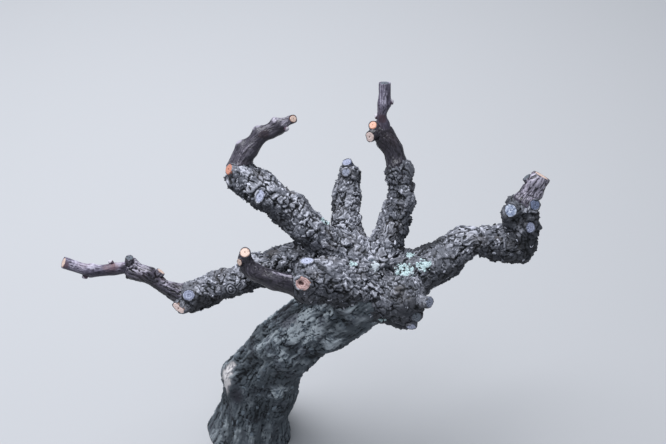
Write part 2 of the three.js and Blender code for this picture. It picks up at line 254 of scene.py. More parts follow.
# The limbs that meet in the head, and how far their bark eases into one another. Then the pairs of
# limbs that meet elsewhere, each with that reach.
HEAD = [
    "trunk", "arm_left", "arm_front", "arm_back_left", "arm_back", "arm_back_right", "arm_right",
    "head_front_right",
]
HEAD_EASE = 10
FORKS = [
    ("arm_left", "spur_left", 5), ("spur_left", "cane_left", 3), ("arm_front", "spur_front", 5),
    ("arm_back_left", "spur_back_left", 5), ("arm_back_right", "spur_back_right", 5),
    ("spur_back_right", "cane_back_right", 3.5), ("arm_right", "head_right", 7),
    ("head_right", "spur_right", 6),
]

# How bark breaks up on each kind of wood, with lengths in millimetres. Plates: their width, how many
# times longer they are, their depth, the cracks between them as a share of their width, and shells,
# the height of the ripples round a plate's middle. Flakes: their width and depth. Thin folds with
# furrows between: their spacing, their height, and how dark the furrows are, partly their own dark
# and partly painted shade. Fibres: the width of a thread, and fibre, its height. Warp is how far the
# whole pattern is bent, over the warp size. For the tone, patches is the share of it that comes in
# large patches, contrast how far high and low differ, pale rims and highlights how much paler a
# flake's curled edge is, as pale bark and a painted highlight, mottle how far the tone lightens and
# darkens the slopes too, and streaks how far the threads show in it. Roughness is the gloss that the
# bark lacks.
BARKS = {
    "trunk": {
        "plate": 8, "stretch": 3.2, "depth": 1.6, "crack": 0.08, "shells": 0.05,
        "flake": 4.5, "flake_depth": 0.7, "fold": 5.0, "fold_depth": 0.8, "furrows": 0.35,
        "thread": 2.0, "fibre": 0.7, "warp": 5.0, "warp_size": 15, "patches": 0.8, "contrast": 1.0,
        "pale_rims_and_highlights": 0.1, "mottle": 0.6, "streaks": 0.45, "roughness": 0.85,
    },
    "arm": {
        "plate": 8.5, "stretch": 1.3, "depth": 2.5, "crack": 0.14, "shells": 0.12,
        "flake": 4.2, "flake_depth": 0.9, "fold": 5.0, "fold_depth": 0.9, "furrows": 0.5,
        "thread": 0.8, "fibre": 0.25, "warp": 3.0, "warp_size": 8, "patches": 0.4, "contrast": 1.15,
        "pale_rims_and_highlights": 0.7, "mottle": 0.0, "streaks": 0.0, "roughness": 0.65,
    },
    "spur": {
        "plate": 2.2, "stretch": 9.0, "depth": 0.7, "crack": 0.2, "shells": 0.0,
        "flake": 1.6, "flake_depth": 0.2, "fold": 3.0, "fold_depth": 0.1, "furrows": 0.5,
        "thread": 0.8, "fibre": 0.35, "warp": 0.9, "warp_size": 9, "patches": 0.55, "contrast": 0.9,
        "pale_rims_and_highlights": 0.1, "mottle": 0.15, "streaks": 0.15, "roughness": 0.33,
    },
    "cane": {
        "plate": 1.5, "stretch": 9.0, "depth": 0.1, "crack": 0.2, "shells": 0.0,
        "flake": 1.2, "flake_depth": 0.05, "fold": 2.0, "fold_depth": 0.02, "furrows": 0.5,
        "thread": 0.7, "fibre": 0.12, "warp": 0.5, "warp_size": 6, "patches": 0.4, "contrast": 0.5,
        "pale_rims_and_highlights": 0.0, "mottle": 0.35, "streaks": 0.15, "roughness": 0.5,
    },
}

# Oval spots on the bark: the limb, place, angle, half length and half width in millimetres. Lichen
# grows on the first sort, bark has come off the bare ones, and ruddy ones turn to the kind's tint.
# Pale ones are lighter: weathered pale bark, and painted highlights along the tops of a spur and a cane
# and on a spur's bulges. Shaded ones are painted darker, as painted shade under limbs, in a cleft and
# on sides turned away from the light.
SPOTS = {
    "lichen": [
        ("arm_right", 0.14, 30, 10, 8), ("arm_right", 0.56, 32, 8, 5),
        ("arm_right", 0.42, -20, 5, 4), ("trunk", 4.36, 46, 6, 5), ("arm_front", 0.5, 20, 4, 3),
        ("arm_back_left", 1.2, 30, 6, 5), ("arm_back", 1.5, 150, 7, 6), ("trunk", 4.0, 150, 5, 4),
        ("arm_right", 1.3, 170, 6, 5), ("head_front_right", 0.7, 108, 4, 3),
    ],
    "bare": [
        ("trunk", 1.22, -62, 18, 5), ("trunk", 1.33, -70, 16, 5), ("trunk", 1.42, -78, 16, 5),
    ],
    "ruddy": [
        ("trunk", 1.15, -44, 16, 8), ("trunk", 3.0, -75, 22, 9), ("arm_left", 1.6, 10, 9, 6),
        ("arm_back_left", 2.4, 30, 7, 5), ("arm_right", 2.9, 30, 5, 3),
        ("head_front_right", 0.9, 20, 5, 4), ("spur_left", 1.4, 30, 5, 4),
        ("spur_back_left", 2.2, -20, 6, 4), ("spur_right", 2.2, 60, 6, 4),
        ("cane_left", 1.2, -20, 8, 6), ("cane_left", 2.96, -60, 4, 4),
        ("cane_back_right", 0.95, 10, 4, 4),
    ],
    # Weathered pale bark, with painted highlights along spur_front's top, on spur_back_left's bulges and
    # along cane_left's top.
    "pale": [
        ("trunk", 0.8, 100, 24, 12), ("trunk", 1.6, 20, 16, 10), ("trunk", 2.5, -30, 14, 10),
        ("trunk", 2.6, 150, 30, 18), ("trunk", 3.3, -45, 26, 20), ("trunk", 3.5, 15, 16, 12),
        ("arm_left", 2.2, 0, 12, 7), ("arm_front", 1.2, 10, 9, 7), ("arm_right", 2.1, -10, 12, 6),
        ("arm_back_left", 1.5, -15, 14, 8), ("arm_back_left", 2.2, -20, 12, 8),
        ("arm_back_left", 3.0, -10, 10, 7), ("arm_back_left", 3.35, -75, 5, 3),
        ("arm_back_left", 3.9, -15, 7, 6), ("head_right", 1.35, -12, 7, 6),
        ("head_right", 2.35, 8, 3.5, 3), ("spur_left", 1.1, 12, 8, 5),
        ("spur_left", 2.55, 5, 12, 6), ("spur_front", 0.8, 100, 12, 2),
        ("spur_back_left", 1.2, -105, 4, 3), ("spur_back_left", 2.05, -100, 5, 3),
        ("spur_back_left", 3.05, -90, 4, 3), ("spur_back_left", 4.3, 0, 8, 4),
        ("spur_right", 1.8, -10, 18, 12), ("cane_left", 0.7, 10, 9, 4),
        ("cane_left", 2.2, 10, 18, 4), ("cane_back_right", 2.4, -20, 14, 4),
    ],
    # Painted shade.
    "shade": [
        ("trunk", 1.0, 0, 24, 12), ("trunk", 2.0, -60, 14, 6), ("trunk", 2.3, -98, 32, 12),
        ("trunk", 2.9, 25, 12, 5), ("trunk", 3.2, -98, 34, 13), ("trunk", 4.08, -22, 5, 18),
        ("trunk", 4.6, -15, 18, 13), ("arm_left", 1.9, -82, 18, 8),
        ("arm_left", 2.7, -112, 40, 12), ("arm_left", 3.65, -72, 9, 8),
        ("arm_left", 3.9, -95, 14, 8), ("arm_right", 0.95, -50, 16, 12),
        ("arm_right", 4.2, -70, 20, 13), ("head_right", 0.3, 0, 16, 15),
        ("cane_left", 0.3, -40, 6, 6), ("cane_left", 1.5, -108, 38, 6),
    ],
}

# What marks the bark. A collar round a stub: its height, middle and spread, as shares of the stub's
# radius; the bark is level within so many radii, and sunk by so many millimetres. A swirl: the spacing
# of its rings as a share of its radius, their wobble, middle and height in millimetres, and how far
# they move the bark's lift, tone, and painted light and weathering. Bare wood: how deep it lies, how
# much of the relief it loses, and how far it is evened to one lift. Pale spots, for weathered bark and
# painted highlights, and shaded spots, for painted shade: how far they move each value.
COLLAR = {"height": 0.12, "middle": 1.45, "spread": 0.5, "level": 1.05, "sunk": 0.6}
SWIRL = {
    "spacing": 0.42, "wobble": 0.5, "middle": 0.8, "height": 0.6, "lift": 0.42, "tone": 0.3,
    "painted_light_and_weather": 0.4,
}
BARE = {"depth": 1.2, "worn": 0.8, "evened": 0.9, "lift": 0.6}
PALE_AND_HIGHLIGHT = {"lift": 0.15, "tone": 0.35, "painted_light_and_weather": 0.6}
SHADE = {"lift": 0.22, "painted_light_and_weather": 0.8}

# What the skins leave behind for the pieces that sit on them.
SKINS = {}


def rgb(code):
    """The linear colour of a six-digit code: each pair of digits out of 255, and the display
    curve undone."""
    parts = [int(code[k:k + 2], 16) / 255 for k in (0, 2, 4)]
    return tuple(p / 12.92 if p <= 0.04045 else ((p + 0.055) / 1.055) ** 2.4 for p in parts)


def unit(vectors):
    """Each vector over its own length."""
    return vectors / np.maximum(np.linalg.norm(vectors, axis=-1, keepdims=True), 1e-9)


def ease(values, low, high):
    """0 below low, 1 above high, and 3x^2 - 2x^3 of the share x of the way between."""
    share = np.clip((values - low) / (high - low), 0, 1)
    return share * share * (3 - 2 * share)


# Noise.

def hashed(cells, salt):
    """A number from 0 to 1 for each whole-numbered cell: its three numbers times three large odd
    ones, joined by exclusive or, then stirred twice by a shift and a product."""
    x, y, z = (cells[..., axis].astype(np.uint32) for axis in range(3))
    mixed = x * np.uint32(0x8DA6B343) ^ y * np.uint32(0xD8163841) ^ z * np.uint32(0xCB1AB31F)
    mixed = mixed + np.uint32((salt * 0x9E3779B1) & 0xFFFFFFFF)
    for shift, factor in ((16, 0x7FEB352D), (15, 0x846CA68B)):
        mixed = (mixed ^ (mixed >> np.uint32(shift))) * np.uint32(factor)
    return (mixed ^ (mixed >> np.uint32(16))) / 2.0 ** 32


def noise(points, salt):
    """Smooth noise from -1 to 1: the hashed numbers of a cell's eight corners, each weighed by the
    eased share of the way to it along every axis."""
    base = np.floor(points).astype(np.int64)
    share = ease(points - base, 0, 1)
    total = np.zeros(points.shape[:-1])
    for corner in np.ndindex(2, 2, 2):
        weight = np.prod(np.where(corner, share, 1 - share), axis=-1)
        total = total + weight * hashed(base + np.array(corner), salt)
    return 2 * total - 1


def rough_noise(points, octaves, salt):
    """The sum of noise at doubling fineness and halving height."""
    return sum(noise(points * 2 ** k, salt + 31 * k) / 2 ** k for k in range(octaves))


def scattered(points, salt):
    """Cells round points strewn one to a unit cube. Gives how much further the second nearest
    strewn point is than the nearest, the nearest one's own number, and the vector from it."""
    base = np.floor(points).astype(np.int64)
    near = np.full(points.shape[:-1], 9.0)
    second = near.copy()
    number = np.zeros(points.shape[:-1])
    away = np.zeros(points.shape)
    for offset in np.ndindex(3, 3, 3):
        cell = base + np.array(offset) - 1
        middle = np.stack([hashed(cell, salt + axis) for axis in (1, 2, 3)], -1)
        vector = points - cell - middle
        distance = np.sqrt((vector ** 2).sum(-1))
        closer = distance < near
        second = np.where(closer, near, np.minimum(second, distance))
        number = np.where(closer, hashed(cell, salt + 4), number)
        away = np.where(closer[..., None], vector, away)
        near = np.minimum(near, distance)
    return second - near, number, away


def smoothed(values, reach):
    """The mean over a square of neighbours, so many steps to each side along the limb and round
    it: a running sum, less the same sum that many steps back, over their count."""
    for axis, mode in ((0, "edge"), (1, "wrap")):
        steps = min(reach, values.shape[axis] // 2 - 1)
        margin = [(0, 0), (0, 0)]
        margin[axis] = (steps + 1, steps)
        sums = np.cumsum(np.pad(values, margin, mode=mode), axis=axis)
        width = 2 * steps + 1
        later, earlier = (np.delete(sums, cut, axis) for cut in (np.s_[:width], np.s_[-width:]))
        values = (later - earlier) / width
    return values


# The limb rule.

def phase(seed, count):
    """A repeatable angle: the part after the point of a large sine, as a share of a full turn."""
    mixed = math.sin(seed * 12.9898 + count * 78.233) * 43758.5453
    return (mixed - math.floor(mixed)) * TURN


def spline(rows, t, slope=False):
    """A point, or the slope, at t from 0 to 1 on the Catmull-Rom curve through the rows: the cubic
    between two rows whose slopes there are half the step from the row before to the row after."""
    rows = np.asarray(rows, float)
    padded = np.vstack([2 * rows[0] - rows[1], rows, 2 * rows[-1] - rows[-2]])
    place = np.clip(t, 0, 1) * (len(rows) - 1)
    section = np.minimum(place.astype(int), len(rows) - 2)
    w = (place - section)[..., None]
    before, start, end, after = (padded[section + k] for k in range(4))
    leave, arrive = (end - before) / 2, (after - start) / 2
    if slope:
        return ((6 * w ** 2 - 6 * w) * (start - end) + (3 * w ** 2 - 4 * w + 1) * leave
                + (3 * w ** 2 - 2 * w) * arrive)
    return ((2 * w ** 3 - 3 * w ** 2 + 1) * start + (w ** 3 - 2 * w ** 2 + w) * leave
            + (3 * w ** 2 - 2 * w ** 3) * end + (w ** 3 - w ** 2) * arrive)


def path_of(limb):
    """The limb's stations without their radii."""
    return np.array(limb["stations"], float)[:, :3]


def tip_radius(limb):
    """The radius at the limb's last station."""
    return limb["stations"][-1][3]


def radius_of(limb, t):
    """The tapering radius at t, before the waves."""
    return spline(np.array(limb["stations"], float)[:, 3:], t)[..., 0]


def limb_frame(limb, t):
    """At t: the path's middle, the way it runs, and two directions across it, the first of them the
    part of facing that is square to the path. A level start eases the way from straight up."""
    along = unit(spline(path_of(limb), t, slope=True))
    if "level_start" in limb:
        turned = ease(t, 0, limb["level_start"])[..., None]
        along = unit(along * turned + np.array([0, 0, 1.0]) * (1 - turned))
    facing = np.array(limb["facing"], float)
    front = unit(facing - (along @ facing)[..., None] * along)
    return spline(path_of(limb), t), along, front, np.cross(along, front)


def ridge_height(angle, place):
    """How far a ridge stands out at an angle and a place: a rounded crest, the size of a cosine,
    whose angle wanders to and fro round the trunk and along it."""
    wander = RIDGES["wander"] * (np.sin(2 * angle + 1.9 * place) + np.sin(angle - 2.7 * place))
    crest = np.abs(np.cos(RIDGES["count"] / 2 * angle + RIDGES["twist"] * place + wander))
    strength = 1 - RIDGES["fading"] * (1 + np.cos(3 * angle + 3.1 * place)) / 2
    return RIDGES["height"] * strength * (crest - RIDGES["sunk"])


def plain_radius(limb, t, angle):
    """The taper, times one plus the swelling's waves of angle and place. The trunk adds its ridges
    and the root flare: the flare's reach, lobed round the trunk, dying away with height."""
    place = t * (len(limb["stations"]) - 1)
    waves = sum(
        share * np.cos(turns * angle + along * place + phase(limb["seed"], count))
        for count, (turns, along, share) in enumerate(WAVES)
    )
    radius = radius_of(limb, t) * (1 + limb["swelling"] * waves)
    if "level_start" in limb:
        height = spline(path_of(limb), t)[..., 2]
        lobes = 1 + FLARE["lobe_share"] * np.cos(FLARE["lobes"] * angle + FLARE["turn"])
        radius = radius + FLARE["reach"] * lobes * np.exp(-height / FLARE["height"])
        radius = radius + ridge_height(angle, place)
    return radius


def surface_at(limb, place, degrees):
    """A point on the plain surface, the way out of it and the way the limb runs there."""
    t = np.asarray(place, float) / (len(limb["stations"]) - 1)
    angle = np.radians(degrees)
    middle, along, front, side = limb_frame(limb, t)
    outward = np.cos(angle) * front + np.sin(angle) * side
    return middle + plain_radius(limb, t, angle) * outward, outward, along


def distance_to(limb, points, place, degrees):
    """How far points are from one place on a limb's plain surface."""
    return np.linalg.norm(points - surface_at(limb, place, degrees)[0], axis=-1)


def knotted(limb, points):
    """How far knots raise points of the plain surface: each knot's height, dying away as a bell
    curve over its spread."""
    raised = np.zeros(points.shape[:-1])
    for place, degrees, height, spread in limb["knots"]:
        distance = distance_to(limb, points, place, degrees)
        raised += height * np.exp(-distance ** 2 / (2 * spread ** 2))
    return raised


def measured(limb):
    """Even steps of t and the distance along the path at each: the running sum of short chords."""
    t = np.linspace(0, 1, 600)
    chords = np.linalg.norm(np.diff(spline(path_of(limb), t), axis=0), axis=1)
    return t, np.concatenate([[0], np.cumsum(chords)])


# Grids of points and the meshes made from them.

def grid_normals(points):
    """The way out of each grid point: the step round the ring crossed with the step along."""
    round_step = np.roll(points, -1, 1) - np.roll(points, 1, 1)
    return unit(np.cross(round_step, np.gradient(points, axis=0)))


def closed_faces(rings, sides):
    """Faces of a closed tube of rings: a four-sided face between each two neighbours on two rings,
    and a fan to the middle of either end. The two middles come after the rings."""
    ring, side = np.mgrid[0:rings - 1, 0:sides]
    after = (side + 1) % sides
    quads = np.stack([
        ring * sides + side, ring * sides + after, (ring + 1) * sides + after,
        (ring + 1) * sides + side,
    ], -1).reshape(-1, 4)
    side = np.arange(sides)
    after = (side + 1) % sides
    last = (rings - 1) * sides
    low = np.stack([after, side, np.full(sides, rings * sides)], -1)
    high = np.stack([last + side, last + after, np.full(sides, rings * sides + 1)], -1)
    return quads, np.vstack([low, high])


def closed_map(points):
    """A flat map for a closed tube: the share of the way round, and the share of the way along by
    the mean run of the rings."""
    rings, sides = points.shape[:2]
    steps = np.linalg.norm(np.diff(points, axis=0), axis=-1).mean(-1)
    run = np.concatenate([[0], np.cumsum(steps)])
    along = 0.02 + 0.96 * run / run[-1]
    ring, side = np.mgrid[0:rings - 1, 0:sides]
    corners = [(ring, side), (ring, side + 1), (ring + 1, side + 1), (ring + 1, side)]
    quads = np.stack([
        np.stack([around / sides, along[row]], -1) for row, around in corners
    ], 2).reshape(-1, 2)
    side = np.arange(sides)
    low = [((side + 1) / sides, along[0]), (side / sides, along[0]), ((side + 0.5) / sides, 0.0)]
    high = [(side / sides, along[-1]), ((side + 1) / sides, along[-1]), ((side + 0.5) / sides, 1.0)]
    fans = [
        np.stack([np.stack([u, np.full(sides, v)], -1) for u, v in fan], 1).reshape(-1, 2)
        for fan in (low, high)
    ]
    return np.vstack([quads, *fans])


def mesh_piece(name, points, faces, material, values=None, places=None):
    """Makes the object of a mesh from points in millimetres, with its material, its values at the
    points and its flat map, and sets it on the vine."""
    mesh = bpy.data.meshes.new(name)
    listed = [face for group in faces for face in group.tolist()]
    mesh.from_pydata((points * MM).tolist(), [], listed)
    mesh.polygons.foreach_set("use_smooth", np.ones(len(listed), bool))
    for key, value in (values or {}).items():
        attribute = mesh.attributes.new(key, "FLOAT", "POINT")
        attribute.data.foreach_set("value", value.astype(np.float32).ravel())
    if places is not None:
        mesh.uv_layers.new(name="OFBake").data.foreach_set("uv", places.astype(np.float32).ravel())
    mesh.materials.append(material)
    mesh.update()
    piece = bpy.data.objects.new(name, mesh)
    bpy.context.scene.collection.objects.link(piece)
    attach(piece, "root")
    return piece


def tube_piece(name, points, ends, material, values):
    """A closed tube as a piece: its rings, the middles of its two ends, and values on the rings."""
    faces = closed_faces(*points.shape[:2])
    spots = np.vstack([points.reshape(-1, 3), np.array(ends)])
    spread = {
        key: np.concatenate([value.ravel(), [value[0].mean(), value[-1].mean()]])
        for key, value in values.items()
    }
    return mesh_piece(name, spots, faces, material, spread, closed_map(points))


# Materials.

# How strong every bump is.
BUMP_STRENGTH = 0.6


class Value:
    """One output of a node, so that shader maths is written as an expression."""

    def __init__(self, nodes, socket):
        """Keeps the tree and the output."""
        self.nodes = nodes
        self.socket = socket

    def __add__(self, other):
        return self.nodes.maths("ADD", self, other)

    def __sub__(self, other):
        return self.nodes.maths("SUBTRACT", self, other)

    def __mul__(self, other):
        return self.nodes.maths("MULTIPLY", self, other)

    def __radd__(self, other):
        return self.nodes.maths("ADD", other, self)

    def __rmul__(self, other):
        return self.nodes.maths("MULTIPLY", other, self)


class Nodes:
    """The node tree of one material."""

    def __init__(self, name):
        """Makes the material, with an empty tree."""
        self.material = bpy.data.materials.new(name)
        self.material.use_nodes = True
        self.tree = self.material.node_tree
        self.tree.nodes.clear()

    def node(self, kind, settings=None, sockets=None, output=0):
        """Adds a node of a kind: its settings first, then a value or a link for each socket."""
        made = self.tree.nodes.new(kind)
        for name, value in (settings or {}).items():
            setattr(made, name, value)
        for socket, value in (sockets or {}).items():
            if isinstance(value, Value):
                self.tree.links.new(value.socket, made.inputs[socket])
            else:
                made.inputs[socket].default_value = value
        return Value(self, made.outputs[output])

    def maths(self, operation, first, second):
        """Two numbers joined by a Math node's operation."""
        return self.node("ShaderNodeMath", {"operation": operation}, {0: first, 1: second})

    def own(self, name):
        """A value that the mesh carries at its points."""
        return self.node("ShaderNodeAttribute", {"attribute_name": name}, output="Fac")

    def eased(self, value, low, high):
        """0 below low, 1 above high, and a smooth step between."""
        sockets = {"Value": value, "From Min": low, "From Max": high}
        return self.node("ShaderNodeMapRange", {"interpolation_type": "SMOOTHSTEP"}, sockets)

    def grain(self, scale, detail, stretch=(1, 1, 1)):
        """Noise in the object's own coordinates, from 0 to 1, that may be stretched."""
        place = self.node("ShaderNodeTexCoord", output="Object")
        place = self.node("ShaderNodeMapping", {}, {"Vector": place, "Scale": stretch})
        sockets = {"Vector": place, "Scale": scale, "Detail": detail}
        return self.node("ShaderNodeTexNoise", {}, sockets)

    def mixed(self, first, second, share):
        """One colour turned towards another by a share."""
        first, second = ((*c, 1) if isinstance(c, tuple) else c for c in (first, second))
        sockets = {0: share, 6: first, 7: second}
        return self.node("ShaderNodeMix", {"data_type": "RGBA"}, sockets, output=2)

    def finish(self, colour, roughness, bump=None, depth=0.0):
        """Ends the tree in a Principled shader, with a bump of so many metres where there is one."""
        sockets = {"Base Color": colour, "Roughness": roughness}
        if bump is not None:
            height = {"Height": bump, "Distance": depth, "Strength": BUMP_STRENGTH}
            sockets["Normal"] = self.node("ShaderNodeBump", {}, height)
        shader = self.node("ShaderNodeBsdfPrincipled", {}, sockets)
        output = self.tree.nodes.new("ShaderNodeOutputMaterial")
        self.tree.links.new(shader.socket, output.inputs["Surface"])
        return self.material


def colour(name):
    """A colour that the panel holds."""
    return tuple(getattr(bpy.context.scene.vine_colours, name))


def bark_material(kind):
    """Bark of one kind of wood. Crevices are the dark colour, their own dark and painted shade, slopes
    the middle one, and the tops of plates turn to the light one by their own tone and by how much
    painted light and weathering they get. Soft clouds and ruddy spots turn it to the tint. Bark with
    little painted light and weathering is turned back towards the dark colour, as painted shade, and
    lichen and streaked bare wood lie over that."""
    name = f"weathered_{kind}"
    if name in bpy.data.materials:
        return bpy.data.materials[name]
    nodes = Nodes(name)
    lift, tone, painted_light_and_weather, lichen, bare, ruddy = (
        nodes.own(key) for key in ("lift", "tone", "painted_light_and_weather", "lichen", "bare", "ruddy")
    )
    speck = nodes.grain(900, 4)
    cloud = nodes.grain(55, 2)
    level = lift + (speck - 0.5) * 0.4
    shade = nodes.mixed(colour(kind + "_dark"), colour(kind + "_mid"), nodes.eased(level, 0.0, 0.55))
    top = nodes.eased(level, 0.35, 0.8) * (0.15 + 0.85 * nodes.eased(tone, 0.3, 0.85))
    # Painted light and weathering: tops turn to the light colour where they face up or are weathered.
    shade = nodes.mixed(shade, colour(kind + "_light"), top * painted_light_and_weather)
    turned = nodes.eased(cloud, 0.48, 0.7) * 0.3 + ruddy * nodes.eased(level, 0.1, 0.6) * 0.7
    shade = nodes.mixed(shade, colour(kind + "_tint"), turned)
    # Painted shade: bark that faces down or lies in a shaded spot turns towards the dark colour.
    shade = nodes.mixed(colour(kind + "_dark"), shade, 0.3 + 0.7 * painted_light_and_weather)
    crust = nodes.eased(lichen + (nodes.grain(420, 3) - 0.5) * 0.9, 0.45, 0.6)
    mint = nodes.mixed(colour("lichen_dark"), colour("lichen_light"), nodes.eased(speck, 0.3, 0.55))
    shade = nodes.mixed(shade, mint, crust * nodes.eased(level, 0.15, 0.5))
    streak = nodes.grain(300, 4, (1, 1, 0.12))
    wood = nodes.mixed(colour("bare_dark"), colour("bare_light"), nodes.eased(streak, 0.32, 0.56))
    shade = nodes.mixed(shade, wood, bare * nodes.eased(level, -0.1, 0.25))
    roughness = BARKS[kind]["roughness"]
    return nodes.finish(shade, roughness, bump=nodes.grain(1600, 4), depth=0.0003)


def flake_material(kind, tone):
    """A loose flake's plain colour: the kind's dark, middle or light one."""
    return Nodes(f"{kind}_flake_{tone}").finish((*colour(f"{kind}_{tone}"), 1), 0.9)


def cut_material(palette):
    """A pruning cut: growth rings between the wood's own colour and a light one, dark cracks and
    pith, and a rim of dead bark."""
    name = palette + "_cut"
    if name in bpy.data.materials:
        return bpy.data.materials[name]
    nodes = Nodes(name)
    band, crack, edge = (nodes.own(key) for key in ("band", "crack", "edge"))
    wood, light, dark, rim = (colour(f"{palette}_{part}") for part in CUT_PARTS)
    speck = nodes.grain(1300, 3)
    shade = nodes.mixed(wood, light, band * 0.85 + (speck - 0.5) * 0.5)
    shade = nodes.mixed(shade, dark, nodes.eased(crack, 0.2, 0.8))
    shade = nodes.mixed(shade, rim, nodes.eased(edge + (speck - 0.5) * 0.4, 0.4, 0.8))
    return nodes.finish(shade, 0.72, bump=nodes.grain(2200, 3), depth=0.00015)


# Bark on the limbs.

def tilted(away, number):
    """How a cell leans: the vector from its middle, along a direction that its number gives."""
    swing, roll = TURN * (17.3 * number % 1), TURN * (41.7 * number % 1)
    way = np.stack([np.cos(swing), np.sin(swing) * np.cos(roll), np.sin(swing) * np.sin(roll)], -1)
    return (away * way).sum(-1)


def bark(kind, spots, seed):
    """Bark at spots on the straightened limb: its height above the plain surface in millimetres,
    its tone, and its cover, which is 0 in a crack and 1 on a plate. Slow noise bends the spots
    first. Plates are cells drawn out along the limb, each with its own height and lean, so their
    borders are steps. Cracks open along some of them, and ripples run round a plate's middle, as
    in a shell. Flakes are smaller cells of the same sort, curled up where they lean out. Folds
    stand up and furrows sink where two noises cross nothing, and noise drawn out along the limb is
    thread. The tone is the plates' and flakes' own numbers, turned towards large patches, with
    paler curls, ripples and threads. The paler curls are pale bark and a painted highlight on the rims."""
    style = BARKS[kind]
    drift = np.stack([rough_noise(spots / style["warp_size"], 4, seed + k) for k in (1, 2, 3)], -1)
    bent = spots + style["warp"] * drift
    drawn = np.array([style["stretch"], 1, 1])

    border, number, away = scattered(bent / (style["plate"] * drawn), seed + 10)
    opened = ease(noise(spots / (0.8 * style["plate"]), seed + 30), -0.5, 0.3)
    crack = (1 - ease(border, 0.2 * style["crack"], style["crack"])) * opened
    height = style["depth"] * (0.55 * number + 0.8 * tilted(away, number) - 0.6 * crack)
    ripple = np.cos(TURN * (2.4 * np.linalg.norm(away, axis=-1) + number)) * ease(border, 0.05, 0.2)
    height = height + style["shells"] * ripple

    cell = style["flake"] * (0.5 + 0.5 * drawn)
    flake_border, flake_number, away = scattered(bent / cell, seed + 20)
    chip = ease(flake_border, 0.0, 0.2)
    leaning = tilted(away, flake_number)
    curl = np.exp(-((flake_border - 0.15) / 0.08) ** 2) * ease(leaning, -0.05, 0.25)
    stand = 0.5 * flake_number + 0.9 * leaning + 0.4 * chip + 0.4 * curl
    height = height + style["flake_depth"] * stand

    fold, furrow = (
        (1 - np.abs(noise(bent / (style["fold"] * drawn ** 0.7), seed + salt))) ** 9
        for salt in (40, 41)
    )
    height = height + style["fold_depth"] * (fold - 1.2 * furrow)
    thread = rough_noise(spots / (style["thread"] * np.array([6, 1, 1])), 2, seed + 50)
    height = height + style["fibre"] * thread

    patch = 0.5 + 0.5 * rough_noise(spots / (2.2 * style["plate"] + 4), 2, seed + 60)
    patch = patch + 0.6 * rough_noise(bent / (0.7 * style["plate"] * drawn), 2, seed + 70)
    own = 0.55 * number + 0.45 * flake_number
    tone = (1 - style["patches"]) * own + style["patches"] * patch
    # Curled rims are paler, as pale bark and a painted highlight.
    tone = tone + style["pale_rims_and_highlights"] * (curl - 0.25) + 0.6 * style["shells"] * ripple
    tone = tone + style["streaks"] * thread
    cover = 1 - np.clip(crack + style["furrows"] * furrow + 0.25 * opened * (1 - chip), 0, 1)
    return height, tone, cover


def lift_of(kind, height, cover, reach):
    """How far out of the cracks each point lies, from 0 to 1: down by what the cover lacks, and up
    or down by its height over the mean of its neighbours. The material paints low lift dark, so
    crevices and hollows get their own dark and painted shade, and bits raised over their neighbours
    are painted lighter."""
    fine = height - smoothed(height, reach)
    level = 0.6 + 0.22 * np.clip(fine / (1.5 * fine.std() + 1e-6), -1.5, 1.5) - 0.55 * (1 - cover)
    return np.clip(0.5 + BARKS[kind]["contrast"] * (level - 0.5), 0, 1)


def painted_light_and_weather_share(limb, places):
    """The share of the light tone, for painted light and weathering together, at places along a limb:
    straight lines between its rows, and the whole of it on a limb that has none."""
    return np.interp(places, *zip(*limb.get("weathered", [(0, 1.0)])))


def chain_gap(points, limb):
    """How far points are from a limb's skin, and the way out of it: the least, over the straight
    stretches of its path, of the distance to the stretch less the radius there."""
    t, run = measured(limb)
    blunt = max(limb.get("round_end", 0), tip_radius(limb))
    marks = np.interp(np.linspace(0, run[-1] - blunt, 2 + int(run[-1] / 7)), run, t)
    spots, sizes = spline(path_of(limb), marks), radius_of(limb, marks)
    gap = np.full(points.shape[:-1], 1e3)
    out = np.zeros(points.shape)
    for start, end, first, last in zip(spots[:-1], spots[1:], sizes[:-1], sizes[1:]):
        stretch = end - start
        share = np.clip((points - start) @ stretch / (stretch @ stretch), 0, 1)
        away = points - start - share[..., None] * stretch
        here = np.linalg.norm(away, axis=-1) - (first + (last - first) * share)
        closer = here < gap
        gap = np.where(closer, here, gap)
        out = np.where(closer[..., None], away, out)
    return gap, unit(out)


def neighbours(name):
    """The limbs that a limb's bark runs into, and how far it eases towards each."""
    found = [(other, HEAD_EASE) for other in HEAD if name in HEAD and other != name]
    for first, second, reach in FORKS:
        if name in (first, second):
            found.append((second if name == first else first, reach))
    return found


def eased_joints(name, points, normals):
    """Fills the crease where limbs meet: a point whose gap g to the other limb is under the reach K
    moves out by (K - |g|)^2 / 4K, between its own way out and the other's, and less inside it."""
    for other, reach in neighbours(name):
        gap, away = chain_gap(points, LIMBS[other])
        lean = (0.5 + 0.5 * np.clip(gap / reach, -1, 1))[..., None]
        way = lean * normals + (1 - lean) * away
        steep = np.maximum((way ** 2).sum(-1, keepdims=True), 0.3)
        push = np.clip(reach - np.abs(gap), 0, None) ** 2 / (4 * reach)
        push = push * np.exp(3 * np.minimum(gap, 0) / reach)
        points = points + push[..., None] * way / steep
    return points


def ring_rows(limb, length, spacing):
    """Distance along the limb, and share of the radius, for each ring from the middle of the start
    to the middle of the tip. A round end's rings stand at sines, and a flat end has a low rim."""
    end = limb.get("round_end", 0)
    body = np.linspace(0, length - end, 2 + int((length - end) / spacing))
    rows = [(0.0, 0.3), (0.0, 0.65), *((s, 1.0) for s in body)]
    if end:
        turns = np.linspace(0, np.pi / 2, 3 + int(1.3 * tip_radius(limb) / spacing))[1:-1]
        rows += [(length - end * (1 - math.sin(a)), math.cos(a)) for a in turns]
    else:
        rim = 0.35
        rows += [(length, 0.95), (length - rim, 0.9), (length - rim, 0.6), (length - rim, 0.3)]
    return np.array(rows)


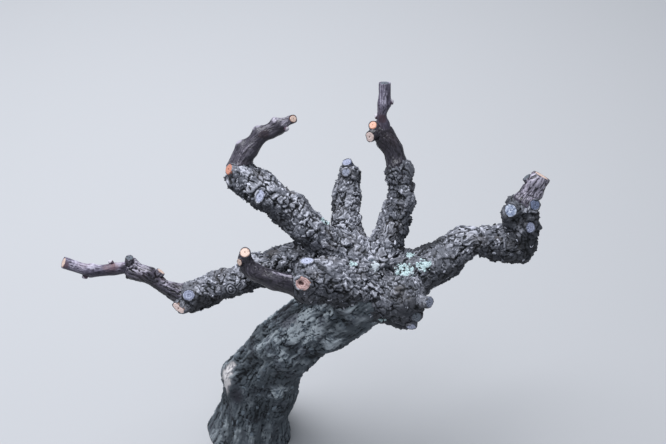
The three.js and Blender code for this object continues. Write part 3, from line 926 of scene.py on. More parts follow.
def stub_collars(limb, skin):
    """How far a collar raises the bark round each stub, a bell curve of the distance from it, and
    how level the bark is under the stub, from 0 to 1."""
    collar = np.zeros(skin.shape[:-1])
    level = np.zeros(skin.shape[:-1])
    for place, degrees, _, radius, _ in limb["stubs"]:
        distance = distance_to(limb, skin, place, degrees)
        past = (distance - COLLAR["middle"] * radius) / (COLLAR["spread"] * radius)
        collar += COLLAR["height"] * radius * np.exp(-past ** 2)
        level = np.maximum(level, np.exp(-(distance / (COLLAR["level"] * radius)) ** 6))
    return collar, level


def swirl_rings(limb, skin):
    """How far inside a swirl each point is, from 0 to 1, and its rings: waves from -1 to 1 of the
    distance from the swirl's middle, which noise wobbles."""
    inside = np.zeros(skin.shape[:-1])
    rings = np.zeros(skin.shape[:-1])
    for place, degrees, radius in limb.get("swirls", []):
        distance = distance_to(limb, skin, place, degrees)
        wobble = SWIRL["wobble"] * rough_noise(skin / 3.0, 2, 77)
        rings += np.cos(TURN * (distance + wobble) / (SWIRL["spacing"] * radius) + np.pi)
        inside = np.maximum(inside, np.exp(-(distance / radius) ** 6))
    return inside, rings


def spot_mask(name, points, along, spots):
    """From 0 to 1: how far inside any of the oval spots that a limb carries a point is, with the
    edge wobbled by noise."""
    mask = np.zeros(points.shape[:-1])
    for owner, place, degrees, half_long, half_wide in spots:
        if owner != name:
            continue
        centre, _, way = surface_at(LIMBS[name], place, degrees)
        away = points - centre
        run = (away * way).sum(-1)
        across = np.linalg.norm(away - run[..., None] * way, axis=-1)
        reach = np.sqrt((run / half_long) ** 2 + (across / half_wide) ** 2)
        wobble = 0.25 * rough_noise(points / 4.0, 2, 91)
        mask = np.maximum(mask, 1 - ease(reach + wobble, 0.6, 1.15))
    return mask


def slanted_end(name, angle, reach, front, side):
    """How far each point of a limb's end rings moves along it for the slant of the cut there. The
    whole end drops by as much as its high side rises, so nothing stands past the tip."""
    slant = sum(cut.slant for cut in CUTS.values() if (cut.limb, cut.stub) == (name, "end"))
    drop = slant_drop(angle, reach, front[-1, 0], side[-1, 0], slant)
    return drop - abs(math.tan(math.radians(slant))) * tip_radius(LIMBS[name])


def bark_on(limb, straight, marks):
    """Bark on a limb's straightened grid: level and a little sunk under stubs and swirls, with
    rings on a swirl, and nearly gone where wood is bare."""
    fineness = limb.get("fineness", 1.0)
    height, tone, cover = bark(limb["kind"], straight * fineness, limb["seed"] * 100)
    height = height / fineness
    calm = np.maximum(marks["stub"], marks["swirl"])
    height = height.mean() + (height - height.mean()) * (1 - calm) - COLLAR["sunk"] * calm
    height = height + marks["swirl"] * (SWIRL["middle"] + SWIRL["height"] * marks["rings"])
    height = height * (1 - BARE["worn"] * marks["bare"]) - BARE["depth"] * marks["bare"]
    return height, tone, cover


def lift_on(limb, height, tone, cover, reach, marks):
    """How far out of the cracks a limb's bark lies: evened out where it is smooth, moved by the
    mottle of its tone, and changed by what marks it."""
    lift = lift_of(limb["kind"], height, cover, reach)
    lift = lift + limb.get("smooth", 0.0) * (0.5 - lift)
    lift = lift + BARKS[limb["kind"]]["mottle"] * (np.clip(tone, 0, 1) - 0.5)
    lift = lift + marks["swirl"] * (0.5 + SWIRL["lift"] * marks["rings"] - lift)
    lift = lift + BARE["evened"] * marks["bare"] * (BARE["lift"] - lift)
    # Pale spots raise the lift, for weathered bark and painted highlights, and shaded spots lower it, as
    # painted shade.
    return lift + PALE_AND_HIGHLIGHT["lift"] * marks["pale"] - SHADE["lift"] * marks["shade"]


def painted_light_and_weather_on(limb, places, angle, facing_up, tone, marks):
    """How much painted light and weathering a limb's bark gets, from 0 to 1. It grows as the bark faces
    up, as painted light, and on the trunk it falls in the furrows between ridges, as painted shade. It
    is scaled by the bark's place on the limb, raised by the top of its tone, and moved by what marks it:
    less in shaded spots, as painted shade, and more in pale ones."""
    painted_light_and_weather = facing_up ** 1.2 * painted_light_and_weather_share(limb, places)
    if limb["kind"] == "trunk":
        painted_light_and_weather = painted_light_and_weather * (0.5 + 0.5 * ease(ridge_height(angle, places), -1.6, 1.2))
    painted_light_and_weather = (painted_light_and_weather + 0.35 * ease(tone, 0.85, 1.3)) * (1 - SHADE["painted_light_and_weather"] * marks["shade"])
    painted_light_and_weather = painted_light_and_weather + PALE_AND_HIGHLIGHT["painted_light_and_weather"] * marks["pale"] + SWIRL["painted_light_and_weather"] * marks["swirl"]
    return np.clip(painted_light_and_weather, 0, 1)


def limb_skin(name, spacing, relief):
    """A limb's skin: the plain surface with its knots and collars, eased into its neighbours, and
    pushed in and out by its bark, which dies away at both ends. Nothing goes under the ground."""
    limb = LIMBS[name]
    kind = limb["kind"]
    steps, run = measured(limb)
    length = run[-1]
    rows = ring_rows(limb, length, spacing)
    distance, share = rows[:, :1], rows[:, 1:]
    t = np.interp(rows[:, 0], run, steps)
    places = (t * (len(limb["stations"]) - 1))[:, None]
    sides = int(TURN * max(s[3] for s in limb["stations"]) / spacing)
    angle = np.arange(sides) * TURN / sides
    middle, along, front, side = (v[:, None, :] for v in limb_frame(limb, t))
    outward = np.cos(angle)[:, None] * front + np.sin(angle)[:, None] * side
    plain = plain_radius(limb, t[:, None], angle[None, :])
    skin = middle + plain[..., None] * outward
    marks = {key: spot_mask(name, skin, along, spots) for key, spots in SPOTS.items()}
    collar, marks["stub"] = stub_collars(limb, skin)
    marks["swirl"], marks["rings"] = swirl_rings(limb, skin)

    raised = knotted(limb, skin) + collar
    reach = (plain + raised) * share
    points = middle + reach[..., None] * outward
    bend = ease(distance, length - 3 * tip_radius(limb), length - 0.4)
    points += (slanted_end(name, angle, reach, front, side) * bend)[..., None] * along
    points = eased_joints(name, points, grid_normals(points))
    normals = grid_normals(points)

    around = radius_of(limb, t)[:, None] * share
    straight = np.stack([
        np.broadcast_to(distance, plain.shape), around * np.cos(angle), around * np.sin(angle),
    ], -1) + limb["seed"] * 37.0
    height, tone, cover = bark_on(limb, straight, marks)
    near_end = 1.0 if "round_end" in limb else ease(length - distance, 0.0, 2.0)
    kept = (1 - limb.get("smooth", 0.0)) * relief * near_end * ease(share, 0.3, 0.9)
    height = (height - height.mean()) * kept
    lift = lift_on(limb, height, tone, cover, max(1, int(2.2 / spacing)), marks)
    # Faces that look up get more painted light and weathering, and undersides less, which paints them
    # darker as painted shade.
    facing_up = ease(normals[..., 2] + 0.25 * noise(points / 9.0, 7), -0.5, 0.85)
    painted_light_and_weather = painted_light_and_weather_on(limb, places, angle, facing_up, tone, marks)
    tone = tone + PALE_AND_HIGHLIGHT["tone"] * marks["pale"] + SWIRL["tone"] * marks["swirl"]

    points = points + height[..., None] * normals
    points[..., 2] = np.maximum(points[..., 2], 0)
    SKINS[name] = {"points": points, "normals": grid_normals(points), "lift": lift}
    values = {"lift": lift, "tone": tone, "painted_light_and_weather": painted_light_and_weather}
    values |= {key: marks[key] for key in ("lichen", "bare", "ruddy")}
    ends = [middle[0, 0], points[-1].mean(0)]
    piece = tube_piece(name + "_skin", points, ends, bark_material(kind), values)
    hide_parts(name)
    return piece


# Pruning cuts and the stubs that they sit on.

@dataclass
class Cut:
    """A pruning cut: its limb, the number of its stub there or "end", and its palette. The face is
    so many times as wide as long, turned by degrees and pressed in at one side by a dent. It has
    so many cracks and rings, and slants towards the front by degrees. A pit is a deep hollow beside
    its middle."""

    limb: str
    stub: int | str
    palette: str
    aspect: float = 0.92
    turned: float = 0
    dent: float = 0
    cracks: int = 3
    slant: float = 0
    rings: float = 3.2
    pit: bool = False


CUTS = {
    "cut_left_disc": Cut("arm_left", 0, "slate", aspect=0.95, cracks=1, rings=2),
    "cut_left_kidney": Cut(
        "arm_left", 1, "chalk", aspect=0.45, turned=155, dent=0.3, cracks=1, slant=14,
    ),
    "cut_spur_left": Cut("spur_left", 0, "cream", aspect=0.8, cracks=2),
    "cut_spur_left_knob": Cut("spur_left", 1, "dusk", aspect=0.9, cracks=1),
    "cut_cane_left_end": Cut("cane_left", "end", "cream", cracks=1, slant=10),
    "cut_front_rose": Cut("arm_front", 0, "rose", dent=0.12, cracks=5, pit=True),
    "cut_front_pale": Cut("arm_front", 1, "lavender", aspect=0.7, turned=20, slant=12),
    "cut_spur_front_end": Cut("spur_front", "end", "cream", aspect=0.95, cracks=2, slant=20),
    "cut_spur_front_side": Cut("spur_front", 0, "cream", aspect=0.8, cracks=1),
    "cut_back_left_scar": Cut(
        "arm_back_left", 0, "lavender", aspect=0.66, turned=110, cracks=0, rings=2, slant=22,
    ),
    "cut_back_left_orange": Cut("arm_back_left", 1, "orange", aspect=0.75, dent=0.1),
    "cut_spur_back_left_end": Cut("spur_back_left", "end", "cream", cracks=2, slant=36),
    "cut_back_lavender": Cut("arm_back", 0, "slate", cracks=4),
    "cut_back_slate": Cut("arm_back", 1, "ash"),
    "cut_back_right_orange": Cut("spur_back_right", "end", "peach", slant=25),
    "cut_back_right_pale": Cut("spur_back_right", 0, "chalk", dent=0.3, cracks=1, slant=30),
    "cut_cane_back_right_end": Cut("cane_back_right", "end", "dusk", cracks=2, slant=-4),
    "cut_right_under": Cut("arm_right", 0, "ash", cracks=4),
    "cut_right_scar": Cut("head_right", 0, "scar", aspect=0.95, cracks=6, rings=1),
    "cut_right_disc": Cut("head_right", 1, "steel", aspect=0.95, slant=25),
    "cut_right_grey": Cut("head_right", 2, "slate", aspect=0.85, cracks=4, slant=20),
    "cut_spur_right_end": Cut("spur_right", "end", "cream", aspect=0.95, cracks=2),
    "cut_spur_right_side": Cut("spur_right", 0, "dusk", cracks=4),
    "cut_front_right_disc": Cut(
        "head_front_right", 0, "ash", aspect=0.75, turned=90, cracks=3, slant=25,
    ),
    "cut_front_right_round": Cut("head_front_right", 1, "dusk", cracks=4, slant=20),
    "cut_front_right_low": Cut("head_front_right", 2, "lavender", aspect=0.8, cracks=2),
}
FRESH = ("cream", "chalk", "peach", "rose", "orange")

# A stub's bark: how much wider it is where it leaves the limb, how deep it starts as a share of its
# radius, how deep the socket is that the cut face sits in, how high its rings and how wide its sides
# are, the fewest sides it has, and how much of the bark's relief.
STUB = {
    "taper": 1.18, "root": 0.8, "socket": 3.0, "ring": 0.7, "side": 0.65, "fewest": 28,
    "relief": 0.45,
}

# A cut's face: its sides, its rings, and its share of the radius inside the bark. Cracks: their half
# width in millimetres, and where they may start as a share of the way out.
FACE = {"sides": 60, "rings": 22, "fill": 0.95, "crack_width": (0.2, 0.45), "crack_start": (0.1, 0.45)}

# The way that slanting cuts face.
CUT_FRONT = np.array([0, -0.7, 0.7])


def stub_frame(limb, row):
    """A stub's foot on the knotted surface, its axis, and two directions square to it."""
    place, degrees, lean, _, _ = row
    foot, outward, along = surface_at(limb, place, degrees)
    foot = foot + knotted(limb, foot) * outward
    axis = math.cos(math.radians(lean)) * outward + math.sin(math.radians(lean)) * along
    across = unit(along - (along @ axis) * axis)
    return foot, axis, across, np.cross(axis, across)


def cut_outline(angle, cut, seed):
    """A cut's radius round its edge: an ellipse, turned, pressed in at one side, and wobbled."""
    swung = angle - math.radians(cut.turned)
    oval = cut.aspect / np.sqrt((cut.aspect * np.cos(swung)) ** 2 + np.sin(swung) ** 2)
    side = (swung - np.pi / 2 + np.pi) % TURN - np.pi
    pressed = 1 - cut.dent * np.exp(-(side / 0.5) ** 2)
    ring = np.stack([np.cos(angle), np.sin(angle), np.zeros(angle.shape)], -1)
    return oval * pressed * (1 + 0.05 * rough_noise(1.6 * ring, 2, seed))


def slant_drop(angle, reach, across, aside, slant):
    """How far a slanting cut drops: the tangent of the slant, times how far out a point lies on the
    side that faces the front."""
    front = math.atan2(CUT_FRONT @ aside, CUT_FRONT @ across)
    return -math.tan(math.radians(slant)) * reach * np.cos(angle - front)


def cut_place(cut):
    """Where a cut sits: its foot, axis and two directions across, its radius and its height. At a
    limb's end it lies lower by the drop of its slant, as the end does."""
    limb = LIMBS[cut.limb]
    if cut.stub == "end":
        radius = tip_radius(limb) * 0.93
        frame_here = [v[0] for v in limb_frame(limb, np.array([1.0]))]
        return (*frame_here, radius, -abs(math.tan(math.radians(cut.slant))) * radius)
    row = limb["stubs"][cut.stub]
    return (*stub_frame(limb, row), row[3], row[4])


def stub_rows(radius, height):
    """Height and share of the radius for each ring of a stub, from its buried foot over its rim."""
    wall_rings = 3 + int((height + radius) / STUB["ring"])
    wall = np.linspace(-STUB["root"] * radius, height - 0.4, wall_rings)
    widths = STUB["taper"] + (1 - STUB["taper"]) * np.linspace(0, 1, wall_rings)
    floor = height - STUB["socket"]
    rows = [(wall[0], 0.4), *zip(wall, widths), (height, 0.97), (height + 0.1, 0.9)]
    rows += [(height - 0.6, 0.84), (floor, 0.8), (floor, 0.4)]
    return np.array(rows)


def stub_bark(name, cut, seed):
    """One stub's bark: a low wall round its cut, with the limb's own bark at about half its relief.
    It is rounder at its foot and has the cut's own outline and slant at the top."""
    limb = LIMBS[cut.limb]
    kind = limb["kind"]
    row = limb["stubs"][cut.stub]
    foot, axis, across, aside = stub_frame(limb, row)
    radius, height = row[3], row[4]
    rows = stub_rows(radius, height)
    rise, share = rows[:, :1], rows[:, 1:]
    sides = max(STUB["fewest"], int(TURN * radius / STUB["side"]))
    angle = np.arange(sides) * TURN / sides
    snug = ease(rise, -0.5 * radius, height)
    edge = radius * (1 + (cut_outline(angle, cut, seed) - 1) * (0.35 + 0.65 * snug))
    toward = np.cos(angle)[:, None] * across + np.sin(angle)[:, None] * aside
    reach = share * edge
    level = rise + snug * slant_drop(angle, reach, across, aside, cut.slant)
    points = foot + level[..., None] * axis + reach[..., None] * toward
    normals = grid_normals(points)

    spots = np.stack([
        np.broadcast_to(rise, reach.shape), reach * np.cos(angle), reach * np.sin(angle),
    ], -1) + seed * 19.0
    lump, tone, cover = bark(kind, spots, seed)
    lump = (lump - lump.mean()) * STUB["relief"]
    lift = lift_of(kind, lump, cover, 3)
    # Painted light and weathering: the stub's bark is lighter where it faces up and darker, as painted
    # shade, where it faces down.
    painted_light_and_weather = ease(normals[..., 2], -0.5, 0.85) * painted_light_and_weather_share(limb, row[0])
    points = points + (lump * ease(share, 0.8, 0.95))[..., None] * normals
    values = {"lift": lift, "tone": tone, "painted_light_and_weather": painted_light_and_weather}
    values |= {key: np.zeros(lift.shape) for key in ("lichen", "bare", "ruddy")}
    ends = [foot + rows[0, 0] * axis, foot + rows[-1, 0] * axis]
    return tube_piece(name, points, ends, bark_material(kind), values)


def cut_cracks(cut, angle, share, reach, bend, seed):
    """How deep in a crack each point lies, from 0 to 1. Each crack runs out along a heading drawn at
    random, swung by the bend, and is a bell curve across and fades in from its own start."""
    rng = np.random.default_rng(seed)
    headings, widths, starts = (
        rng.uniform(*span, cut.cracks)
        for span in ((0, TURN), FACE["crack_width"], FACE["crack_start"])
    )
    crack = np.zeros(reach.shape)
    for heading, width, start in zip(headings, widths, starts):
        off = (angle + bend - heading + np.pi) % TURN - np.pi
        line = np.exp(-(np.abs(off) * reach / width) ** 2)
        crack = np.maximum(crack, line * ease(share, start, start + 0.2))
    return crack


def cut_face(name, cut, seed):
    """The bare wood of one cut: a thin closed disc inside the outline, from under its edge, up over
    it and in to its middle. Cracks run out from the pith, rings are waves of the radius, the middle
    is a little domed, and the edge falls away under the bark."""
    foot, axis, across, aside, radius, height = cut_place(cut)
    at_end = cut.stub == "end"
    under = [0.35, 0.75, 1.0]
    share = np.concatenate([under, np.linspace(1, 0.06, FACE["rings"])])[:, None]
    angle = np.arange(FACE["sides"]) * TURN / FACE["sides"]
    toward = np.cos(angle)[:, None] * across + np.sin(angle)[:, None] * aside
    reach = share * (radius * FACE["fill"] * cut_outline(angle, cut, seed))
    flat = np.stack([reach * np.cos(angle), reach * np.sin(angle), np.zeros(reach.shape)], -1)

    bend = 0.5 * noise(flat / (0.5 * radius), seed + 1)
    crack = cut_cracks(cut, angle, share, reach, bend, seed)
    pith = np.exp(-(reach / (0.13 * radius)) ** 2)
    hollow = np.zeros(reach.shape)
    if cut.pit:
        away = np.linalg.norm(flat - np.array([0.3 * radius, -0.1 * radius, 0]), axis=-1)
        hollow = np.exp(-(away / (0.34 * radius)) ** 2)
    fresh = cut.palette in FRESH
    # The pit's hollow takes the dark colour of the pith and cracks too.
    crack = np.clip(np.maximum(crack * (0.5 if fresh else 1.0), pith) + 0.9 * hollow, 0, 1)
    band = 0.5 + 0.5 * np.cos(TURN * (share * cut.rings + 0.3 * noise(flat / 2.0, seed + 2)))
    rim = ease(share + 0.08 * noise(flat / 1.2, seed + 3), 0.84, 1.0)
    grain = 0.12 * rough_noise(flat / 0.9, 2, seed + 4)
    rise = grain - 0.5 * crack - 1.9 * hollow - 0.45 * rim + 0.14 * (1 - share ** 2)

    top = height + (0.05 if at_end else 0.15)
    thick = 1.1 if at_end else STUB["socket"] - 0.2
    level = top + np.where(np.arange(len(share))[:, None] < len(under), -thick, rise)
    level = level + slant_drop(angle, reach, across, aside, cut.slant)
    points = foot + level[..., None] * axis + reach[..., None] * toward
    ends = [foot + (top - thick) * axis, points[-1].mean(0)]
    values = {"band": band, "crack": crack, "edge": rim}
    return tube_piece(name, points, ends, cut_material(cut.palette), values)


# Loose flakes, lichen and buds. Flakes and lobes of lichen are many small closed shapes, joined.

FLAKE_RINGS = 5
FLAKE_SIDES = 6

# Loose flakes, in millimetres: how long, wide, bowed and lifted they may be, how thick they are, and
# how deep they are set in the bark. Each kind of wood has its own size beside that, and a share of
# the panel's number of flakes in each tone.
FLAKE = {
    "length": (1.2, 2.8), "width": (0.9, 1.9), "bow": (-0.2, 0.7), "lift": (0.3, 1.2),
    "thickness": 0.35, "sunk": 0.7,
}
FLAKY = {
    "trunk": {"size": 1.5, "tones": {"mid": 0.12}},
    "arm": {"size": 1.0, "tones": {"dark": 0.2, "mid": 0.4, "light": 0.15}},
}

# Lobes of lichen: how many there are to a square millimetre of a spot's half sizes, their half
# length, their width beside it, how far they lift, how thick they are and how deep they are set.
LOBE = {
    "density": 1.1, "length": (0.5, 1.3), "width": (0.7, 1.0), "lift": (0, 0.3), "thickness": 0.22,
    "sunk": 0.1,
}

# A stub with less than this radius is a bud.
BUD_RADIUS = 3


def flake_points(frames, lengths, widths, bows, lifts, thickness, rng):
    """Points of small curved plates: along u from -1 to 1 and round a thin lens. The outline is
    widest past the middle and ragged, the plate is bowed across, and it lifts as it runs on."""
    count = len(lengths)
    spots, along, normals = frames
    across = np.cross(normals, along)
    u = np.linspace(-1, 1, FLAKE_RINGS)
    turn = np.arange(FLAKE_SIDES) * TURN / FLAKE_SIDES
    v, w = np.cos(turn), np.sin(turn)
    outline = np.array([0.45, 0.9, 1.0, 0.85, 0.35])
    ragged = outline * rng.uniform(0.75, 1.25, (count, FLAKE_RINGS))
    slip = rng.uniform(-0.2, 0.2, (count, FLAKE_RINGS))
    side = (ragged[..., None] * v + slip[..., None]) * widths[:, None, None]
    run = np.broadcast_to((u * lengths[:, None])[..., None], side.shape)
    rise = lifts[:, None] * ((u + 1) / 2) ** 1.5
    bow = bows[:, None, None] * (1 - v ** 2)
    up = rise[..., None] + bow + thickness * w * np.array([0.3, 1, 1, 1, 0.3])[:, None]
    return (spots[:, None, None] + run[..., None] * along[:, None, None]
            + side[..., None] * across[:, None, None] + up[..., None] * normals[:, None, None])


def flake_piece(name, grids, material):
    """Joins small closed tubes: the rings of each, a middle for either end, and its faces."""
    grid = np.concatenate(grids)
    count = len(grid)
    each = FLAKE_RINGS * FLAKE_SIDES
    middles = np.stack([grid[:, 0].mean(1), grid[:, -1].mean(1)], 1)
    points = np.concatenate([grid.reshape(count, each, 3), middles], 1).reshape(-1, 3)
    quads, fans = closed_faces(FLAKE_RINGS, FLAKE_SIDES)
    first = np.arange(count)[:, None, None] * (each + 2)
    faces = ((quads + first).reshape(-1, 4), (fans + first).reshape(-1, 3))
    return mesh_piece(name, points, faces, material)


def frames_on(name, allowed, count, sunk, rng):
    """Places picked on a limb's finished skin where it is allowed, sunk into it, with a way along
    the limb, swung and half of them turned round, and the way out."""
    points, normals = SKINS[name]["points"], SKINS[name]["normals"]
    choices = np.argwhere(allowed)
    ring, side = choices[rng.integers(0, len(choices), count)].T
    after = points[np.minimum(ring + 4, len(points) - 1), side]
    before = points[np.maximum(ring - 4, 0), side]
    normal = normals[ring, side]
    limb_way = unit(after - before)
    swing = rng.normal(0, 0.45, count)[:, None]
    flat = unit(limb_way - (limb_way * normal).sum(-1, keepdims=True) * normal)
    along = np.cos(swing) * flat + np.sin(swing) * np.cross(normal, flat)
    flip = np.where(rng.random(count) < 0.5, -1.0, 1.0)[:, None]
    return points[ring, side] - sunk * normal, along * flip, normal


def clear_bark(name):
    """Where a flake may sit: on a plate's top, off the cuts and the bare wood, and clear of the
    ground and of both ends."""
    limb = LIMBS[name]
    points = SKINS[name]["points"]
    allowed = (SKINS[name]["lift"] > 0.45) & (points[..., 2] > 6)
    for place, degrees, _, radius, height in limb["stubs"]:
        centre, outward, _ = surface_at(limb, place, degrees)
        allowed &= np.linalg.norm(points - centre - outward * height, axis=-1) > radius + 5
    for owner, place, degrees, half_long, _ in SPOTS["bare"]:
        if owner == name:
            allowed &= distance_to(limb, points, place, degrees) > half_long
    allowed[:3] = False
    allowed[-3:] = False
    return allowed


def loose_flakes(kind, tone, total, rng):
    """The loose flakes of one tone on a kind of wood, shared out by the number of points in each
    limb's skin."""
    names = [name for name, limb in LIMBS.items() if limb["kind"] == kind]
    areas = np.array([SKINS[name]["lift"].size for name in names])
    size = FLAKY[kind]["size"]
    grids = []
    for name, area in zip(names, areas / areas.sum()):
        count = max(1, int(total * area))
        frames = frames_on(name, clear_bark(name), count, FLAKE["sunk"], rng)
        lengths, widths = (size * rng.uniform(*FLAKE[key], count) for key in ("length", "width"))
        bows, lifts = (rng.uniform(*FLAKE[key], count) for key in ("bow", "lift"))
        grids.append(flake_points(frames, lengths, widths, bows, lifts, FLAKE["thickness"], rng))
    return flake_piece(f"{kind}_flakes_{tone}", grids, flake_material(kind, tone))


def lichen_patch(spot, rng):
    """The lobes of one spot of lichen, scattered over the skin within its half length."""
    owner, place, degrees, half_long, half_wide = spot
    allowed = distance_to(LIMBS[owner], SKINS[owner]["points"], place, degrees) < half_long
    count = int(LOBE["density"] * half_long * half_wide)
    frames = frames_on(owner, allowed, count, LOBE["sunk"], rng)
    lengths = rng.uniform(*LOBE["length"], count)
    widths = lengths * rng.uniform(*LOBE["width"], count)
    lifts = rng.uniform(*LOBE["lift"], count)
    return flake_points(frames, lengths, widths, np.zeros(count), lifts, LOBE["thickness"], rng)


def bud_grid(foot, axis, across, aside, radius, height):
    """A bud: rings whose radius swells, then closes to a blunt point, with two scales that show as
    a shallow groove, bent a little towards the tip of the cane. Also how woolly it is there, from
    0 to 1."""
    share = np.linspace(0, 0.97, 16)
    swell = np.sin(np.pi * (0.18 + 0.82 * share)) ** 0.8
    sides = 20
    angle = np.arange(sides) * TURN / sides
    groove = 1 - 0.12 * np.exp(-(np.sin(angle) / 0.25) ** 2)
    reach = radius * 1.25 * swell[:, None] * groove
    level = -0.6 * radius + (height + 0.9 * radius) * share
    bend = 0.5 * share ** 2
    toward = np.cos(angle)[:, None] * across + np.sin(angle)[:, None] * aside
    points = (foot + level[:, None, None] * axis + (bend * radius)[:, None, None] * across
              + reach[..., None] * toward)
    return points, np.broadcast_to(ease(share, 0.45, 0.7)[:, None], reach.shape)


def bud_material():
    """Brown scales that turn to pale wool at the tip."""
    nodes = Nodes("bud_scales")
    speck = nodes.grain(1500, 3)
    scales = nodes.mixed(colour("bud_brown"), colour("cane_mid"), nodes.eased(speck, 0.4, 0.7))
    wool = nodes.eased(nodes.own("woolly") + (speck - 0.5) * 0.5, 0.3, 0.7)
    return nodes.finish(nodes.mixed(scales, colour("bud_wool"), wool), 0.85)


# What a user may change.

def spacing_property(kind, metres):
    """A length: how far apart the points of a kind's skins are."""
    return bpy.props.FloatProperty(
        name=f"{kind.capitalize()} spacing", description=f"Distance between the points of a {kind}'s skin",
        default=metres, min=0.0001, unit="LENGTH", precision=5,
    )


def colour_property(name, description, code):
    """A colour, from its code of six digits."""
    return bpy.props.FloatVectorProperty(
        name=name, description=description, default=rgb(code), min=0.0, max=1.0, size=3,
        subtype="COLOR",
    )


class VineSizes(bpy.types.PropertyGroup):
    """The fineness of the skins, the relief of the bark and the number of its flakes"""

    trunk_spacing: spacing_property("trunk", 0.00095)
    arm_spacing: spacing_property("arm", 0.0007)
    spur_spacing: spacing_property("spur", 0.00054)
    cane_spacing: spacing_property("cane", 0.00046)
    relief: bpy.props.FloatProperty(
        name="Bark relief", description="How strongly the bark stands out, as a share",
        default=1.0, min=0.0, max=1.5, subtype="FACTOR",
    )
    flakes: bpy.props.IntProperty(
        name="Flakes", description="Loose flakes of bark to share out over the trunk and arms",
        default=1500, min=0,
    )


# The parts of a bark's colour and of a cut's, and the colours of each kind of bark and each palette
# of cut: what it is on, and a code for each part. A bark's dark colour is also painted shade in its
# crevices and on bark that faces down, and its light colour is painted light on tops that face up, as
# well as their weathering. The last few colours stand alone.
BARK_PARTS = {
    "dark": "Crevices", "mid": "Slopes", "light": "Weathered tops", "tint": "Patches of another tone",
}
CUT_PARTS = {"wood": "Wood", "light": "Light rings", "dark": "Pith and cracks", "rim": "Rim"}
BARK_COLOURS = {
    "trunk": ("the trunk's bark", "1f2429", "747e88", "d8e1e7", "575362"),
    "arm": ("the arms' bark", "1a1c21", "666872", "cfd0dc", "544e4c"),
    "spur": ("the spurs' bark", "131115", "504b59", "bdb6c6", "4c3a3e"),
    "cane": ("the canes' bark", "262230", "7a7287", "d2cbde", "6a4348"),
}
CUT_COLOURS = {
    "cream": ("fresh cuts", "d8b9aa", "f4dccf", "8c6656", "9a6a58"),
    "chalk": ("pale fresh cuts", "e8cac2", "feebe6", "86685f", "8c7268"),
    "peach": ("the bright orange cut", "e0a68e", "f8ccb8", "a4664e", "b87c62"),
    "rose": ("the large pink cut", "b28a86", "e6c6c4", "46292a", "c8927a"),
    "orange": ("the deep orange cut", "bc7a64", "d89c88", "7c4a3a", "8f5a48"),
    "slate": ("old grey-blue cuts", "80859f", "c0c5dc", "8e93ab", "62667f"),
    "scar": ("the large old scar", "97a3bf", "dbe2f2", "5c6886", "b8c6e4"),
    "steel": ("the dark blue cut", "616b86", "828ca9", "3a4257", "48506a"),
    "ash": ("old grey cuts", "777c8e", "9da2b4", "3e424f", "7f8493"),
    "dusk": ("the darkest old cuts", "525862", "70767f", "2c3037", "3a3e46"),
    "lavender": ("pale old cuts", "a3a7bd", "d6daf2", "666a82", "787c94"),
}
OTHER_COLOURS = {
    "lichen_dark": ("Lichen's darker lobes", "85a3a3"),
    "lichen_light": ("Lichen's pale lobes", "cfe3e6"),
    "bare_dark": ("Streaks in the trunk's bare wood", "7b7880"),
    "bare_light": ("The trunk's bare wood", "e4dfdf"),
    "bud_brown": ("The buds' scales", "4a3038"),
    "bud_wool": ("The buds' woolly tips", "cfc9d2"),
}


def colour_rows():
    """The name, description and code of every colour."""
    for parts, finishes in ((BARK_PARTS, BARK_COLOURS), (CUT_PARTS, CUT_COLOURS)):
        for finish, (what, *codes) in finishes.items():
            for (part, words), code in zip(parts.items(), codes):
                yield f"{finish}_{part}", f"{words} of {what}", code
    for name, (words, code) in OTHER_COLOURS.items():
        yield name, words, code


class VineColours(bpy.types.PropertyGroup):
    """The colours of the bark, the cuts, the bare wood, the lichen and the buds"""

    __annotations__ = {
        name: colour_property(name.replace("_", " ").capitalize(), words, code)
        for name, words, code in colour_rows()
    }


# One operator for each piece or group of like pieces.

def skins_of(kind):
    """Makes the skin of every limb of a kind."""
    sizes = bpy.context.scene.vine_sizes
    spacing = getattr(sizes, kind + "_spacing") / MM
    for name, limb in LIMBS.items():
        if limb["kind"] == kind:
            limb_skin(name, spacing, sizes.relief)


class VINE_OT_trunk(bpy.types.Operator):
    """The leaning, fluted trunk with its root flare and bare wood"""

    bl_idname = "vine.trunk"
    bl_label = "Trunk bark"

    def execute(self, context):
        skins_of("trunk")
        return {"FINISHED"}


class VINE_OT_arms(bpy.types.Operator):
    """The stout arms and their heads, in broken plates of bark"""

    bl_idname = "vine.arms"
    bl_label = "Arm bark"

    def execute(self, context):
        skins_of("arm")
        return {"FINISHED"}


class VINE_OT_spurs(bpy.types.Operator):
    """The younger spurs, in long strips of bark"""

    bl_idname = "vine.spurs"
    bl_label = "Spur bark"

    def execute(self, context):
        skins_of("spur")
        return {"FINISHED"}


class VINE_OT_canes(bpy.types.Operator):
    """Last year's canes, smooth with fine lines and swollen nodes"""

    bl_idname = "vine.canes"
    bl_label = "Cane bark"

    def execute(self, context):
        skins_of("cane")
        return {"FINISHED"}


class VINE_OT_stubs(bpy.types.Operator):
    """The bark round every pruned stub"""

    bl_idname = "vine.stubs"
    bl_label = "Stubs"

    def execute(self, context):
        for cut in CUTS.values():
            if cut.stub != "end":
                name = f"{cut.limb}_stub_{cut.stub + 1}"
                stub_bark(name, cut, LIMBS[cut.limb]["seed"] * 7 + cut.stub)
        return {"FINISHED"}


class VINE_OT_cuts(bpy.types.Operator):
    """The cut faces, fresh and weathered"""

    bl_idname = "vine.cuts"
    bl_label = "Pruning cuts"

    def execute(self, context):
        for count, (name, cut) in enumerate(CUTS.items()):
            cut_face(name, cut, 300 + 11 * count)
        return {"FINISHED"}


